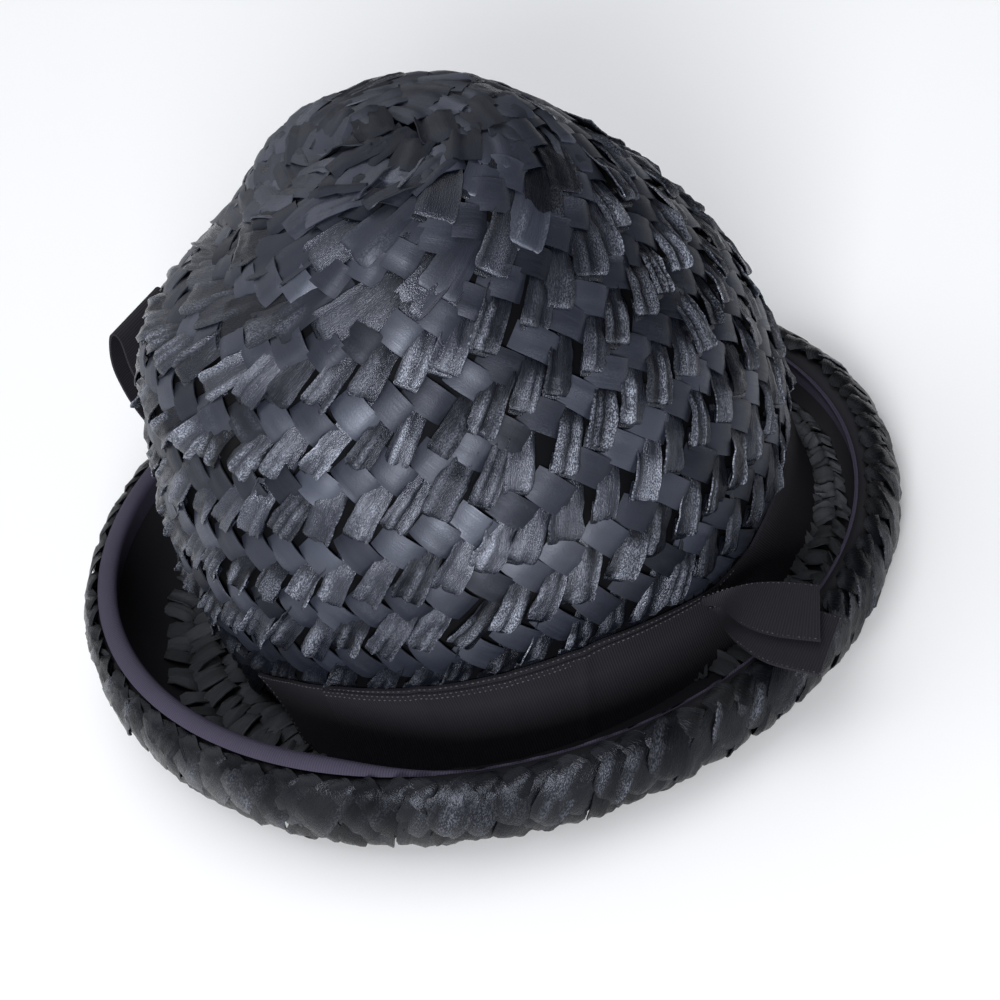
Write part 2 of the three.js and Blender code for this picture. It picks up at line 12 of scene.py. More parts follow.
import bmesh
import bpy
import numpy as np
from mathutils import Matrix, Vector, noise
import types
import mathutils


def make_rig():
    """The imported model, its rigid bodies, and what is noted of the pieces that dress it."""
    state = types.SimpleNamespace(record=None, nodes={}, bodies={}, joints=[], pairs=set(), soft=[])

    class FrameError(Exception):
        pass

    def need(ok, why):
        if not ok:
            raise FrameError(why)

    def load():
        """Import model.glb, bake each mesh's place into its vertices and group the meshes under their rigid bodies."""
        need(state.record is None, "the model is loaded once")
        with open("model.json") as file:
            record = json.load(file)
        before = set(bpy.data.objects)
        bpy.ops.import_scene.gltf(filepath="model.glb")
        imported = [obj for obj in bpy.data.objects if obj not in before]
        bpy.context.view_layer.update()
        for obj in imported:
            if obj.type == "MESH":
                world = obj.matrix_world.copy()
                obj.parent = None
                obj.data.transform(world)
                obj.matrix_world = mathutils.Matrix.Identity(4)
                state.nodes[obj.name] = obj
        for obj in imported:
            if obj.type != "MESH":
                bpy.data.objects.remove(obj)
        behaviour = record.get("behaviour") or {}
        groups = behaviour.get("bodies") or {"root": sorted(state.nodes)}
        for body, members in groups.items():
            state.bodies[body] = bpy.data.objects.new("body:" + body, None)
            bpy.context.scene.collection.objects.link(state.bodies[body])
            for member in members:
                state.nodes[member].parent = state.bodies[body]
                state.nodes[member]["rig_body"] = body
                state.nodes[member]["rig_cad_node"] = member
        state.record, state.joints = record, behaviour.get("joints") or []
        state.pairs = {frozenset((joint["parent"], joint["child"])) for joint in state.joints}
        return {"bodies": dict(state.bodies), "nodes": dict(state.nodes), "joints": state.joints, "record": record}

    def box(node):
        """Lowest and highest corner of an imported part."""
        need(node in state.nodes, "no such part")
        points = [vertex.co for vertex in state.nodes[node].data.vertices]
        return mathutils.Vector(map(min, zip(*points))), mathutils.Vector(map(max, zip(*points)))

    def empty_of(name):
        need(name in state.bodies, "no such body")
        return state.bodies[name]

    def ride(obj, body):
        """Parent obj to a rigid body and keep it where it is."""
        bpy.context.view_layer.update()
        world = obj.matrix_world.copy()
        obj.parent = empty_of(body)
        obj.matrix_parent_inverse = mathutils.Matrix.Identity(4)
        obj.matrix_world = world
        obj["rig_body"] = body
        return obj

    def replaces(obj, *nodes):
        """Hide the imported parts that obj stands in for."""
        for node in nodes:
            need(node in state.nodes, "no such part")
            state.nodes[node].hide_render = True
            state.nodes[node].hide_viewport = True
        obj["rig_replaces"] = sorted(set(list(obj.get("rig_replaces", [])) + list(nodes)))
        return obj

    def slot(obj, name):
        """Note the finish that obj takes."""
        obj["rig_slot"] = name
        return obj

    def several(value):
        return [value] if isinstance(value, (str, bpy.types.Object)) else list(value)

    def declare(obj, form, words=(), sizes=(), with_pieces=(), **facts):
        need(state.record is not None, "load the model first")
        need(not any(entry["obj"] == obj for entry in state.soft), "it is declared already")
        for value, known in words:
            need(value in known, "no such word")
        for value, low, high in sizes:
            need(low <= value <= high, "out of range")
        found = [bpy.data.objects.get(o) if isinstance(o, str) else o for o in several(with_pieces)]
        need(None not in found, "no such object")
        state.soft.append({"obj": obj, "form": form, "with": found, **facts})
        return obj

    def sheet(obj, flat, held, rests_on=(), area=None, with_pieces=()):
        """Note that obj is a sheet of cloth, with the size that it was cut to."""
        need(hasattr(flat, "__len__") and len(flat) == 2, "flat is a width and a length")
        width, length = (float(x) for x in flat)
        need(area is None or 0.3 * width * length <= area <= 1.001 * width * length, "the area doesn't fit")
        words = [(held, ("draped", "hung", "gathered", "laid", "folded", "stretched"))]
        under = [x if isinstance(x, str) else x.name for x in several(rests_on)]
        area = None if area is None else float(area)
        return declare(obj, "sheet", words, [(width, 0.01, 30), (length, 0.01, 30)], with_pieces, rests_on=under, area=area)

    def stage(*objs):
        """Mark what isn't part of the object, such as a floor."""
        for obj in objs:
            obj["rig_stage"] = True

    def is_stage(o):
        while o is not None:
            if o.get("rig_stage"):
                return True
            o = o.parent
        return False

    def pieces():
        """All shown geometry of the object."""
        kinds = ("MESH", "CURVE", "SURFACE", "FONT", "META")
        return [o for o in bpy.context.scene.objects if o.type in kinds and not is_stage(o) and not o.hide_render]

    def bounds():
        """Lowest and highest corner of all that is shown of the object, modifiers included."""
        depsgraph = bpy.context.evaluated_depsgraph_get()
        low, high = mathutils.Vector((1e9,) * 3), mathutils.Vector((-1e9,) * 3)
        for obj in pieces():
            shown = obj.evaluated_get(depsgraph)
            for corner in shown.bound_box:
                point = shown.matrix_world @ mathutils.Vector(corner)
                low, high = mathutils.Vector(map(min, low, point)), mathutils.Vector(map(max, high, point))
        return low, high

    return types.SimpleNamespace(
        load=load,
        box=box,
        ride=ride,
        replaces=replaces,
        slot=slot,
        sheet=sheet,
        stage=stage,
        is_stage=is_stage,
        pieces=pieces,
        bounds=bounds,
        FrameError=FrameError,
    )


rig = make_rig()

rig.load()
cad_low, cad_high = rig.bounds()
MM = 0.001
print("CAD box in mm:", [round(side / MM) for side in cad_high - cad_low])

# %% [markdown]
# ## Where things are
# All the shapes below are worked out in millimetres round the middle of the brim. The edge tape
# follows the brim's lip all round, so the middle of its box gives that point.

# %% The brim's middle
tape_low, tape_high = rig.box("edge_tape")
brim_middle = Vector(((tape_low.x + tape_high.x) / 2, (tape_low.y + tape_high.y) / 2, 0))


def placed(point):
    """A point in millimetres round the brim's middle, in the frame's metres."""
    return brim_middle + Vector(point) * MM


print("Brim's middle in mm:", [round(value / MM, 1) for value in brim_middle])

# %% [markdown]
# ## Camera
# The photograph looks down on the hat from behind its wearer's right shoulder, through a long lens,
# and the hat is tipped in the picture, so the camera is rolled instead.

# %% Camera
CROWN_FORWARD = 8.5  # how far the crown stands in front of the brim's middle
VIEW_AZIMUTH = math.radians(250)
VIEW_ELEVATION = math.radians(36)
VIEW_ROLL = math.radians(17.3)
VIEW_DISTANCE = 820
VIEW_HEIGHT = 52  # of the point looked at
LENS = 95.4
PICTURE = 1000  # the picture's side in pixels
TARGET_PIXEL = (478.4, 430.8)

back = Vector((
    math.sin(VIEW_AZIMUTH) * math.cos(VIEW_ELEVATION),
    -math.cos(VIEW_AZIMUTH) * math.cos(VIEW_ELEVATION),
    math.sin(VIEW_ELEVATION),
))
level_right = Vector((0, 0, 1)).cross(back).normalized()
level_up = back.cross(level_right)
view_right = level_right * math.cos(VIEW_ROLL) - level_up * math.sin(VIEW_ROLL)
view_up = level_right * math.sin(VIEW_ROLL) + level_up * math.cos(VIEW_ROLL)

camera_data = bpy.data.cameras.new("camera")
camera_data.lens = LENS
camera_data.shift_x = 0.5 - TARGET_PIXEL[0] / PICTURE
camera_data.shift_y = TARGET_PIXEL[1] / PICTURE - 0.5
camera_data.clip_start = 0.01
camera = bpy.data.objects.new("camera", camera_data)
target = placed((0, -CROWN_FORWARD, VIEW_HEIGHT))
camera.matrix_world = Matrix.Translation(target + back * VIEW_DISTANCE * MM) @ Matrix((
    view_right, view_up, back,
)).transposed().to_4x4()
bpy.context.scene.collection.objects.link(camera)
bpy.context.scene.camera = camera
print("Camera stands at", [round(value, 2) for value in camera.location])

# %% [markdown]
# ## Light and floor
# Glossy black straw shows mostly what it reflects. A bright room gives it a grey sheen, and one
# window low behind the camera gives the sparkle on the side of the crown that faces us.

# %% Light and floor
def linear(hex_colour, alpha=1.0):
    """An sRGB hex colour as the linear numbers that Blender's sockets take."""
    channels = [int(hex_colour[i:i + 2], 16) / 255 for i in (1, 3, 5)]
    return [
        c / 12.92 if c <= 0.04045 else ((c + 0.055) / 1.055) ** 2.4 for c in channels
    ] + [alpha]


def add_node(tree, kind, inputs=None, **settings):
    """Adds a node with its settings; inputs hold values, or outputs of other nodes to link."""
    made = tree.nodes.new(kind)
    for name, value in settings.items():
        setattr(made, name, value)
    for socket, value in (inputs or {}).items():
        if isinstance(value, bpy.types.NodeSocket):
            tree.links.new(value, made.inputs[socket])
        else:
            made.inputs[socket].default_value = value
    return made


def mapped(tree, value, low, high, new_low, new_high):
    """A value between low and high, carried over to another range."""
    return add_node(tree, "ShaderNodeMapRange", {
        "Value": value, "From Min": low, "From Max": high, "To Min": new_low, "To Max": new_high,
    }).outputs[0]


def cloudy(tree, place, scale, detail=3.0):
    """Smooth noise from 0 to 1."""
    return add_node(
        tree, "ShaderNodeTexNoise", {"Vector": place, "Scale": scale, "Detail": detail},
    ).outputs["Fac"]


def blended(tree, share, first, second):
    """A colour between two."""
    return add_node(
        tree, "ShaderNodeMix", {0: share, 6: first, 7: second}, data_type="RGBA",
    ).outputs[2]


def computed(tree, operation, *values):
    """The result of a Math node."""
    return add_node(
        tree, "ShaderNodeMath", dict(enumerate(values)), operation=operation,
    ).outputs[0]


def new_material(name):
    """A material with its node tree and its Principled shader."""
    material = bpy.data.materials.new(name)
    material.use_nodes = True
    return material, material.node_tree, material.node_tree.nodes["Principled BSDF"]


def finished_object(name, net, material):
    """Turns a bmesh into an object with its material, smooth but for its open edges."""
    for edge in net.edges:
        edge.smooth = not edge.is_boundary
    mesh = bpy.data.meshes.new(name)
    net.to_mesh(mesh)
    net.free()
    mesh.materials.append(material)
    mesh.polygons.foreach_set("use_smooth", [True] * len(mesh.polygons))
    made = bpy.data.objects.new(name, mesh)
    bpy.context.scene.collection.objects.link(made)
    print(name, "has", len(mesh.polygons), "faces")
    return made


def add_window(name, azimuth, elevation, distance, size, watts):
    """A soft rectangular light that faces the hat."""
    data = bpy.data.lights.new(name, "AREA")
    data.shape = "RECTANGLE"
    data.size, data.size_y = size
    data.energy = watts
    window = bpy.data.objects.new(name, data)
    a, e = math.radians(azimuth), math.radians(elevation)
    away = Vector((math.sin(a) * math.cos(e), -math.cos(a) * math.cos(e), math.sin(e)))
    window.location = target + away * distance
    window.rotation_euler = away.to_track_quat("Z", "Y").to_euler()
    bpy.context.scene.collection.objects.link(window)


# Azimuth, elevation, distance and size in metres, and power in watts.
add_window("window", 238, 20, 2.6, (0.9, 0.9), 84)
add_window("ceiling", 110, 62, 2.8, (4.5, 4.5), 66)

# The room is brighter on the window's side, which is towards +Y.
world = bpy.data.worlds.new("room")
world.use_nodes = True
room = world.node_tree
room_side = add_node(
    room, "ShaderNodeSeparateXYZ", {0: add_node(room, "ShaderNodeTexCoord").outputs["Generated"]},
).outputs["Y"]
room_light = mapped(room, room_side, -0.8, 0.8, 0.1, 0.75)
background = room.nodes["Background"]
background.inputs["Color"].default_value = linear("#f4f6fa")
room.links.new(room_light, background.inputs["Strength"])
bpy.context.scene.world = world
bpy.context.scene.view_settings.view_transform = "Standard"

FLOOR_SIDE = 6.0
paper, _, paper_shader = new_material("matt_white_paper")
paper_shader.inputs["Base Color"].default_value = linear("#ecedef")
paper_shader.inputs["Roughness"].default_value = 0.9
floor_net = bmesh.new()
bmesh.ops.create_grid(floor_net, x_segments=1, y_segments=1, size=FLOOR_SIDE / 2)
floor = finished_object("floor", floor_net, paper)
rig.stage(floor)

# %% [markdown]
# ## Raffia
# Raffia is the skin of a palm leaf, split into ribbons, dyed and pressed flat. Fibres run along it,
# so it shines in streaks, and where it creases, broken fibres show as fine pale grains. These grains,
# painted on crease ridges where a strip stands high, are also a painted highlight. Every ribbon took
# the dye a little differently. The pattern follows each strip, so it reads two attributes. One holds
# the place along and across the strip in millimetres, and the strip's own random number. The other
# says how much wear and painted highlight the strip has there.

# %% Raffia material
# How fine the patterns are: per millimetre along and across a strip, and from strip to strip.
FIBRE_PATTERN = (0.12, 3.3, 53.0)
SPECK_PATTERN = (1.9, 3.4, 31.0)
DUST_COLOUR = "#2b2a28"
# Pale grains of wear, also painted as a highlight on crease ridges and high strips.
WORN_AND_HIGHLIGHT_COLOUR = "#888d9b"


def raffia(name, dark, light, gloss, streaks, sparkle, shine):
    """Dyed raffia, from its darkest to its lightest colour.

    gloss is its least roughness. streaks and sparkle say how deep its fibres and its broken grains
    are, and shine how strongly it reflects.
    """
    material, tree, shader = new_material(name)
    straw = add_node(tree, "ShaderNodeAttribute", attribute_name="straw").outputs["Vector"]
    tint = add_node(tree, "ShaderNodeSeparateXYZ", {0: straw}).outputs["Z"]
    # Fibres are a third of a millimetre wide and run for about a centimetre.
    drawn_out = add_node(
        tree, "ShaderNodeVectorMath", {0: straw, 1: FIBRE_PATTERN}, operation="MULTIPLY",
    ).outputs[0]
    fibres = cloudy(tree, drawn_out, 1.0)
    # Broken fibre ends, less than a millimetre apart, give the sparkle.
    speckled = add_node(
        tree, "ShaderNodeVectorMath", {0: straw, 1: SPECK_PATTERN}, operation="MULTIPLY",
    ).outputs[0]
    specks = cloudy(tree, speckled, 1.0)
    dyed = computed(tree, "MULTIPLY", tint, 0.7)
    shade = computed(tree, "MULTIPLY_ADD", fibres, 0.5, dyed)
    dye = blended(tree, shade, linear(dark), linear(light))
    # Dust and worn dye lie in patches a few centimetres across.
    where = add_node(tree, "ShaderNodeTexCoord").outputs["Object"]
    patches = cloudy(tree, where, 45.0, 4.0)
    dusty = mapped(tree, patches, 0.5, 0.8, 0.0, 0.25)
    dusted = blended(tree, dusty, dye, linear(DUST_COLOUR))
    # Pale grains are painted where a crease is rubbed: partly bare fibre, partly a painted highlight.
    wear_and_highlight_grains = mapped(tree, specks, 0.46, 0.62, 0.1, 1.0)
    wear_and_highlight = add_node(tree, "ShaderNodeAttribute", attribute_name="wear_and_highlight").outputs["Fac"]
    bare = computed(tree, "MULTIPLY", wear_and_highlight_grains, wear_and_highlight)
    colour = blended(tree, bare, dusted, linear(WORN_AND_HIGHLIGHT_COLOUR))
    roughness = mapped(tree, fibres, 0.3, 0.7, gloss, gloss + 0.16)
    grain = add_node(
        tree, "ShaderNodeBump", {"Height": fibres, "Strength": streaks, "Distance": 0.25 * MM},
    ).outputs[0]
    rough_grain = add_node(
        tree,
        "ShaderNodeBump",
        {"Height": specks, "Strength": sparkle, "Distance": 0.35 * MM, "Normal": grain},
    ).outputs[0]
    sheen = mapped(tree, tint, 0.0, 1.0, shine * 0.35, shine * 1.5)
    tree.links.new(sheen, shader.inputs["Specular IOR Level"])
    tree.links.new(colour, shader.inputs["Base Color"])
    tree.links.new(roughness, shader.inputs["Roughness"])
    tree.links.new(rough_grain, shader.inputs["Normal"])
    shader.inputs["IOR"].default_value = 1.5
    shader.inputs["Specular Tint"].default_value = linear("#e6ecff")
    return material


glossy_raffia = raffia("creased_glossy_raffia", "#040507", "#12151e", 0.18, 0.45, 0.7, 0.55)
smooth_raffia = raffia("smooth_raffia", "#06070a", "#242833", 0.4, 0.12, 0.22, 0.5)
# The lip's straw is painted darker as shade, and shines less.
lip_raffia_painted_shade = raffia("lip_raffia_with_painted_shade", "#030405", "#090a0e", 0.2, 0.35, 0.5, 0.28)
# The gutter's straw is lighter than the rest: partly dust, partly painted light in the gutter's shade.
gutter_raffia_painted_light = raffia("gutter_raffia_dusty_and_painted_light", "#232426", "#4c4e52", 0.5, 0.4, 0.4, 0.3)
dull_raffia = raffia("dull_raffia_backing", "#040405", "#0a0a0b", 0.6, 0.1, 0.5, 0.2)
# The brim's wall is a lighter copy of the backing straw: painted light in its shade.
wall_raffia_painted_light = raffia("brim_wall_raffia_painted_light", "#1c1c1f", "#303034", 0.6, 0.1, 0.5, 0.2)
print("Raffia:", [made.name for made in bpy.data.materials if "raffia" in made.name])

# %% [markdown]
# ## The crown's form
# A milliner presses damp straw over a block. The block's side view is a short table of heights and
# radii, joined by a smooth curve, and a few dents show where hands have held the hat. These are the
# sizes of the CAD model, so that the straw lies on it.

# %% The crown's form
CROWN_HALF_WIDTH = 84
CROWN_HALF_LENGTH = 92
CROWN_HEIGHT = 162
CROWN_LEAN_BACK = 7
CROWN_LEAN_SIDE = 1
LEAN_CURVE = 1.3
STRAW_WALL = 1.8
ROW_PITCH = 19.5  # what shows of one turn of the braid
PIECE_GAP = 0.3
CROWN_BASE = STRAW_WALL + PIECE_GAP
CROWN_RADIUS = (CROWN_HALF_WIDTH + CROWN_HALF_LENGTH) / 2
CROWN_PATH_STEPS = 40  # from each place of the table to the next
# Height and radius, as shares of the crown's height and of its radius at the base.
CROWN_SHAPE = [
    (0.0, 1.0), (0.14, 1.03), (0.28, 1.05), (0.42, 1.03), (0.56, 0.955),
    (0.7, 0.82), (0.82, 0.68), (0.91, 0.545), (0.97, 0.4), (1.0, 0.0),
]
# Direction in degrees, height and depth as shares of the crown's height, width in degrees, and how
# tall the dent is. A negative depth swells outwards.
CROWN_DENTS = [
    (72, 0.7, -0.045, 45, 0.12), (66, 0.92, 0.05, 40, 0.12), (200, 0.45, -0.01, 35, 0.2),
    (330, 0.5, 0.018, 30, 0.2), (20, 0.75, 0.014, 30, 0.15),
]


def smooth_path(points, steps):
    """A curve through all the points, with so many steps from each to the next."""
    ends = [points[0], *points, points[-1]]
    path = []
    for before, start, end, after in zip(ends, ends[1:], ends[2:], ends[3:]):
        leave, arrive = (end - before) / 2, (after - start) / 2
        for step in range(steps):
            t = step / steps
            path.append(
                start * (2 * t**3 - 3 * t**2 + 1) + leave * (t**3 - 2 * t**2 + t)
                + end * (3 * t**2 - 2 * t**3) + arrive * (t**3 - t**2)
            )
    return [*path, points[-1]]


crown_path = np.array(smooth_path(
    [Vector((share * CROWN_RADIUS, up * CROWN_HEIGHT)) for up, share in CROWN_SHAPE],
    CROWN_PATH_STEPS,
))
path_steps = np.diff(crown_path, axis=0)
path_climbs = np.concatenate([[0], np.cumsum(np.hypot(path_steps[:, 0], path_steps[:, 1]))])
path_slopes = np.gradient(crown_path, path_climbs, axis=0)
CROWN_CLIMB = path_climbs[-1]  # from the crown's foot up its side to the tip


def crown_radius(climb):
    """The crown's mean radius at a distance up its side."""
    return float(np.interp(climb, path_climbs, crown_path[:, 0]))


def dent_depth(angle, height):
    depth = 0.0
    for toward, up, deep, spread, tall in CROWN_DENTS:
        aside = ((angle - toward + 180) % 360 - 180) / spread
        above = (height / CROWN_HEIGHT - up) / tall
        depth += deep * CROWN_HEIGHT * math.exp(-aside * aside - above * above)
    return depth


def crown_point(angle, climb, stand=0.0):
    """A point at an angle and a distance up the crown's side, so far off the bare straw."""
    radius, height = (float(np.interp(climb, path_climbs, crown_path[:, i])) for i in (0, 1))
    across, up = (float(np.interp(climb, path_climbs, path_slopes[:, i])) for i in (0, 1))
    off = stand - dent_depth(angle, height)
    share = (radius + up * off) / CROWN_RADIUS
    height = height - across * off + min(climb, 0)
    lean = max(height / CROWN_HEIGHT, 0) ** LEAN_CURVE
    turned = math.radians(angle)
    return Vector((
        CROWN_HALF_WIDTH * share * math.cos(turned) + CROWN_LEAN_SIDE * lean,
        CROWN_HALF_LENGTH * share * math.sin(turned) + CROWN_LEAN_BACK * lean - CROWN_FORWARD,
        CROWN_BASE + height,
    ))


print("Up the crown's side it is", round(CROWN_CLIMB), "mm to the tip")

# %% [markdown]
# The ribbon band presses the straw flat. Its upper edge dips towards the back, so it is a table of
# angles too, and a helper says how far the straw may rise at any place.

# %% The band's edge
BAND_HEIGHT = 36
BAND_LOW = STRAW_WALL + PIECE_GAP
BAND_EDGE = [
    (98, 0.55), (110, 0.72), (123, 0.82), (156, 0.84), (172, 0.82), (186, 0.7), (196, 0.6),
    (207, 0.6), (218, 0.75), (230, 0.92), (260, 1.0), (320, 1.0), (400, 0.96),
]
BAND_FROM, BAND_TO = BAND_EDGE[0][0], BAND_EDGE[-1][0]
FREE_BESIDE = (2, 8)  # degrees past the band's ends over which the straw comes free
FREE_ABOVE = (1, 4)  # millimetres above its upper edge over which it comes free


def band_top(angle):
    """The height of the band's upper edge."""
    angles, tops = zip(*BAND_EDGE)
    return BAND_LOW + BAND_HEIGHT * float(np.interp(angle, angles, tops))


def smooth_step(value, low, high):
    share = min(max((value - low) / (high - low), 0), 1)
    return share * share * (3 - 2 * share)


def free_of_band(angle, height):
    """1 where the straw stands free, 0 where the band presses it flat."""
    along = BAND_FROM + (angle - BAND_FROM) % 360
    beside = min(along - BAND_TO, BAND_FROM + 360 - along)
    above = height - band_top(min(along, BAND_TO))
    return max(smooth_step(beside, *FREE_BESIDE), smooth_step(above, *FREE_ABOVE))


print("The band is", BAND_HEIGHT, "mm wide and spans", BAND_TO - BAND_FROM, "degrees")

# %% [markdown]
# ## One strip of straw
# Every strip of the hat is a small grid that is laid on a curved surface. A short table gives its
# side view: it starts folded under itself, turns up at the row's edge, lies over its neighbour and
# then dips beneath the next. Random creases, twists and widths keep any two from looking alike.

# %% One strip of straw
STRIP_THICK = 0.4
CREASE = 0.5  # how high a lengthwise crease stands
CRUMPLE = 0.9  # how high the crumples across a strip stand
HEM = 1.1  # how far a strip's edge may turn up
TWIST = 0.08  # how much a strip slopes from side to side
LEAST_STAND = 0.1  # so that no strip sinks into the wall under it
# Pale grains of wear and painted highlight go on crease ridges where the strip stands high.
WEAR_AND_HIGHLIGHT_RIDGES = (-0.1, 0.5)  # heights of a crease between which wear and painted highlight set in
WEAR_AND_HIGHLIGHT_STANDS = (1.2, 2.2)  # and heights of the strip above its wall
dice = random.Random(11)  # one for the whole hat, so the order of the pieces matters


def lay_strip(
    net, surface, start, lean, side_view, width, cross_steps, crumple, wear_and_highlight_amount=0.0, painted_shade_tone=1.0,
):
    """Lays a strip on surface(s, t, stand), from start = (s, t), leaning by so many degrees.

    side_view rows are (place along the strip, stand-off, share of the full width). Pale grains of
    wear and painted highlight show on the ridges of its creases where it stands high, and a tone
    below 1 paints the straw darker as shade, and duller.
    """
    straw = net.verts.layers.float_vector["straw"]
    wear_and_highlight = net.verts.layers.float["wear_and_highlight"]
    wear_and_highlight_amount *= dice.uniform(0.25, 1.0)
    steps = len(side_view) - 1
    grid = bmesh.ops.create_grid(net, x_segments=steps, y_segments=cross_steps, size=1.0)
    turned = math.radians(lean)
    # A tone below 1 paints the strip darker as shade.
    tint, seed = dice.random() * painted_shade_tone, dice.uniform(0, 100)
    twist = dice.gauss(0, TWIST) * crumple
    bulge = dice.uniform(0, 0.15 + 0.3 * crumple)
    creases = [dice.gauss(0, CREASE) * crumple for _ in range(cross_steps + 1)]
    creases[dice.choice([0, -1])] += dice.choice([0, 0, HEM]) * crumple
    edge_wave = dice.uniform(0.02, 0.09) * crumple
    for vertex in grid["verts"]:
        row = round((vertex.co.x + 1) / 2 * steps)
        column = round((vertex.co.y + 1) / 2 * cross_steps)
        side = vertex.co.y
        along, stand, share = side_view[row]
        across = side * share * width / 2
        across += edge_wave * width * noise.noise((along * 0.3, side * 0.7, seed))
        wander = 1 + noise.noise((along * 0.12, column * 0.9, seed))
        ridge = creases[column] * wander
        off = (1 - side * side) * bulge + twist * across + ridge
        off += CRUMPLE * crumple * noise.noise((along * 0.32, side * 1.6, seed + 50))
        s = start[0] + along * math.cos(turned) - across * math.sin(turned)
        t = start[1] + along * math.sin(turned) + across * math.cos(turned)
        vertex.co = placed(surface(s, t, max(stand + off * share, LEAST_STAND)))
        vertex[straw] = (along + seed, across, tint)
        # The pale grains of wear are also a painted highlight, on crease ridges where the strip stands high.
        vertex[wear_and_highlight] = (
            wear_and_highlight_amount * smooth_step(ridge, *WEAR_AND_HIGHLIGHT_RIDGES) * smooth_step(stand, *WEAR_AND_HIGHLIGHT_STANDS)
        )


def straw_net():
    """An empty bmesh whose vertices can hold their place on a strip."""
    net = bmesh.new()
    net.verts.layers.float_vector.new("straw")
    net.verts.layers.float.new("wear_and_highlight")
    return net


def thickened(piece, thickness):
    """Gives a sheet its thickness, inwards from its outer face."""
    wall = piece.modifiers.new("thickness", "SOLIDIFY")
    wall.thickness = thickness * MM
    wall.offset = -1
    return piece


print("A strip is", STRIP_THICK, "mm thick")

# %% [markdown]
# ## The crown's plait
# The braid leans two ways at once. One set of strips slants up to the right, comes to the row's lower
# edge and folds under it in a rounded end. The other set slants up to the left and shows above them
# as a line of squares. Both are laid along the same spiral as the CAD model's rows.

# %% The crown's plait
STRIP_WIDTH = 8.2
STRIP_SPACING = 11.3  # along the row, from one folded end to the next
STRIP_LEAN = 52  # degrees from the row's direction
LAST_CLIMB = CROWN_CLIMB - 26  # above this the braid is coiled too tightly to follow
SMALLEST_TURN = 16  # radius below which strips stop fanning out
FIRST_TURN = -330.0  # degrees along the spiral, in the row that begins below the crown's foot
LOWEST_FOLD = 0.6  # above the crown's foot
FOLD_REACH, FOLD_MIDDLE = 6, 9  # of a folded strip, up from its row's foot
SQUARE_REACH, SQUARE_TOP = 10, 19  # of a square, likewise
SQUARE_PLACE = (13.0, 15.2)  # along the row and up, from the folded end
LIFTS = [0] * 14 + [0.7]  # one strip in fifteen has sprung up
# Near the tip the braid is pressed smooth: its strips lean less, and are wider, with less wear and
# painted highlight.
TIP_FROM, TIP_TO = CROWN_CLIMB - 95, CROWN_CLIMB - 55
TIP_LEAN, TIP_SQUARE_LEAN = 26, 15
TIP_WIDER, TIP_SMOOTHER, TIP_LESS_WEAR_AND_HIGHLIGHT = 0.45, 0.4, 0.65
# Low down the straw is painted darker as shade, and has less wear and painted highlight.
WEAR_AND_HIGHLIGHT_RISES = (0, 45)
PAINTED_SHADE_TONE_RISES = (-10, 55)
DARKEST_PAINTED_SHADE_TONE = 0.3

FOLD_END = 5  # how far up a strip its folded end goes, which isn't stretched
# Place along the strip, stand-off and share of the width, from the turned-under end up.
FOLDED_STRIP = [
    (3.6, 1.0, 0.84), (1.2, 1.0, 0.84), (0.1, 1.3, 0.84), (-0.3, 1.8, 0.86), (0.0, 2.3, 0.9),
    (0.9, 2.6, 0.98), (2.4, 2.7, 1.0), (4.2, 2.6, 1.0), (6.0, 2.5, 0.98), (7.8, 2.3, 0.96),
    (9.6, 2.0, 0.94), (11.4, 1.6, 0.92), (13.2, 1.1, 0.9), (15.0, 0.7, 0.88), (17.0, 0.4, 0.86),
    (19.5, 0.1, 0.82),
]
# A second layer of the strip lies under the fold and shows as a thin rim below it.
UNDER_FOLD = [
    (-0.2, 0.7, 0.8), (-0.1, 1.0, 0.86), (0.5, 1.3, 0.94), (2.0, 1.4, 1.0), (4.0, 1.2, 1.0),
    (6.5, 0.8, 0.96),
]
SQUARE_STRIP = [
    (-7.0, 0.4, 0.96), (-5.4, 1.2, 1.0), (-4.0, 1.8, 1.0), (-2.0, 2.0, 1.0), (0.2, 2.0, 1.0),
    (2.2, 1.8, 1.0), (4.0, 1.4, 1.0), (5.6, 0.8, 0.98), (7.2, 0.2, 0.94),
]


def crown_row(turn):
    """The surface round one strip's foot, at a place on the spiral given in degrees."""
    foot = turn / 360 * ROW_PITCH

    def surface(s, t, stand):
        radius = max(crown_radius(foot + t), SMALLEST_TURN)
        angle = turn + math.degrees(s / radius)
        climb = angle / 360 * ROW_PITCH + t
        bare = crown_point(angle, climb)
        return crown_point(angle, climb, stand * free_of_band(angle, bare.z))
    return surface


def over_tip(s, t, stand):
    """The surface over the crown's tip, in flat coordinates round it."""
    return crown_point(math.degrees(math.atan2(t, s)), CROWN_CLIMB - math.hypot(s, t), stand)


def hidden_by_band(turn, climb):
    """Whether a place on the crown is well under the band."""
    return free_of_band(turn, crown_point(turn, climb).z) == 0


def stretched(side_view, length, lift):
    """A side view made longer or shorter past its fold, and raised."""
    return [
        (along * length if along > FOLD_END else along, stand + lift, share)
        for along, stand, share in side_view
    ]


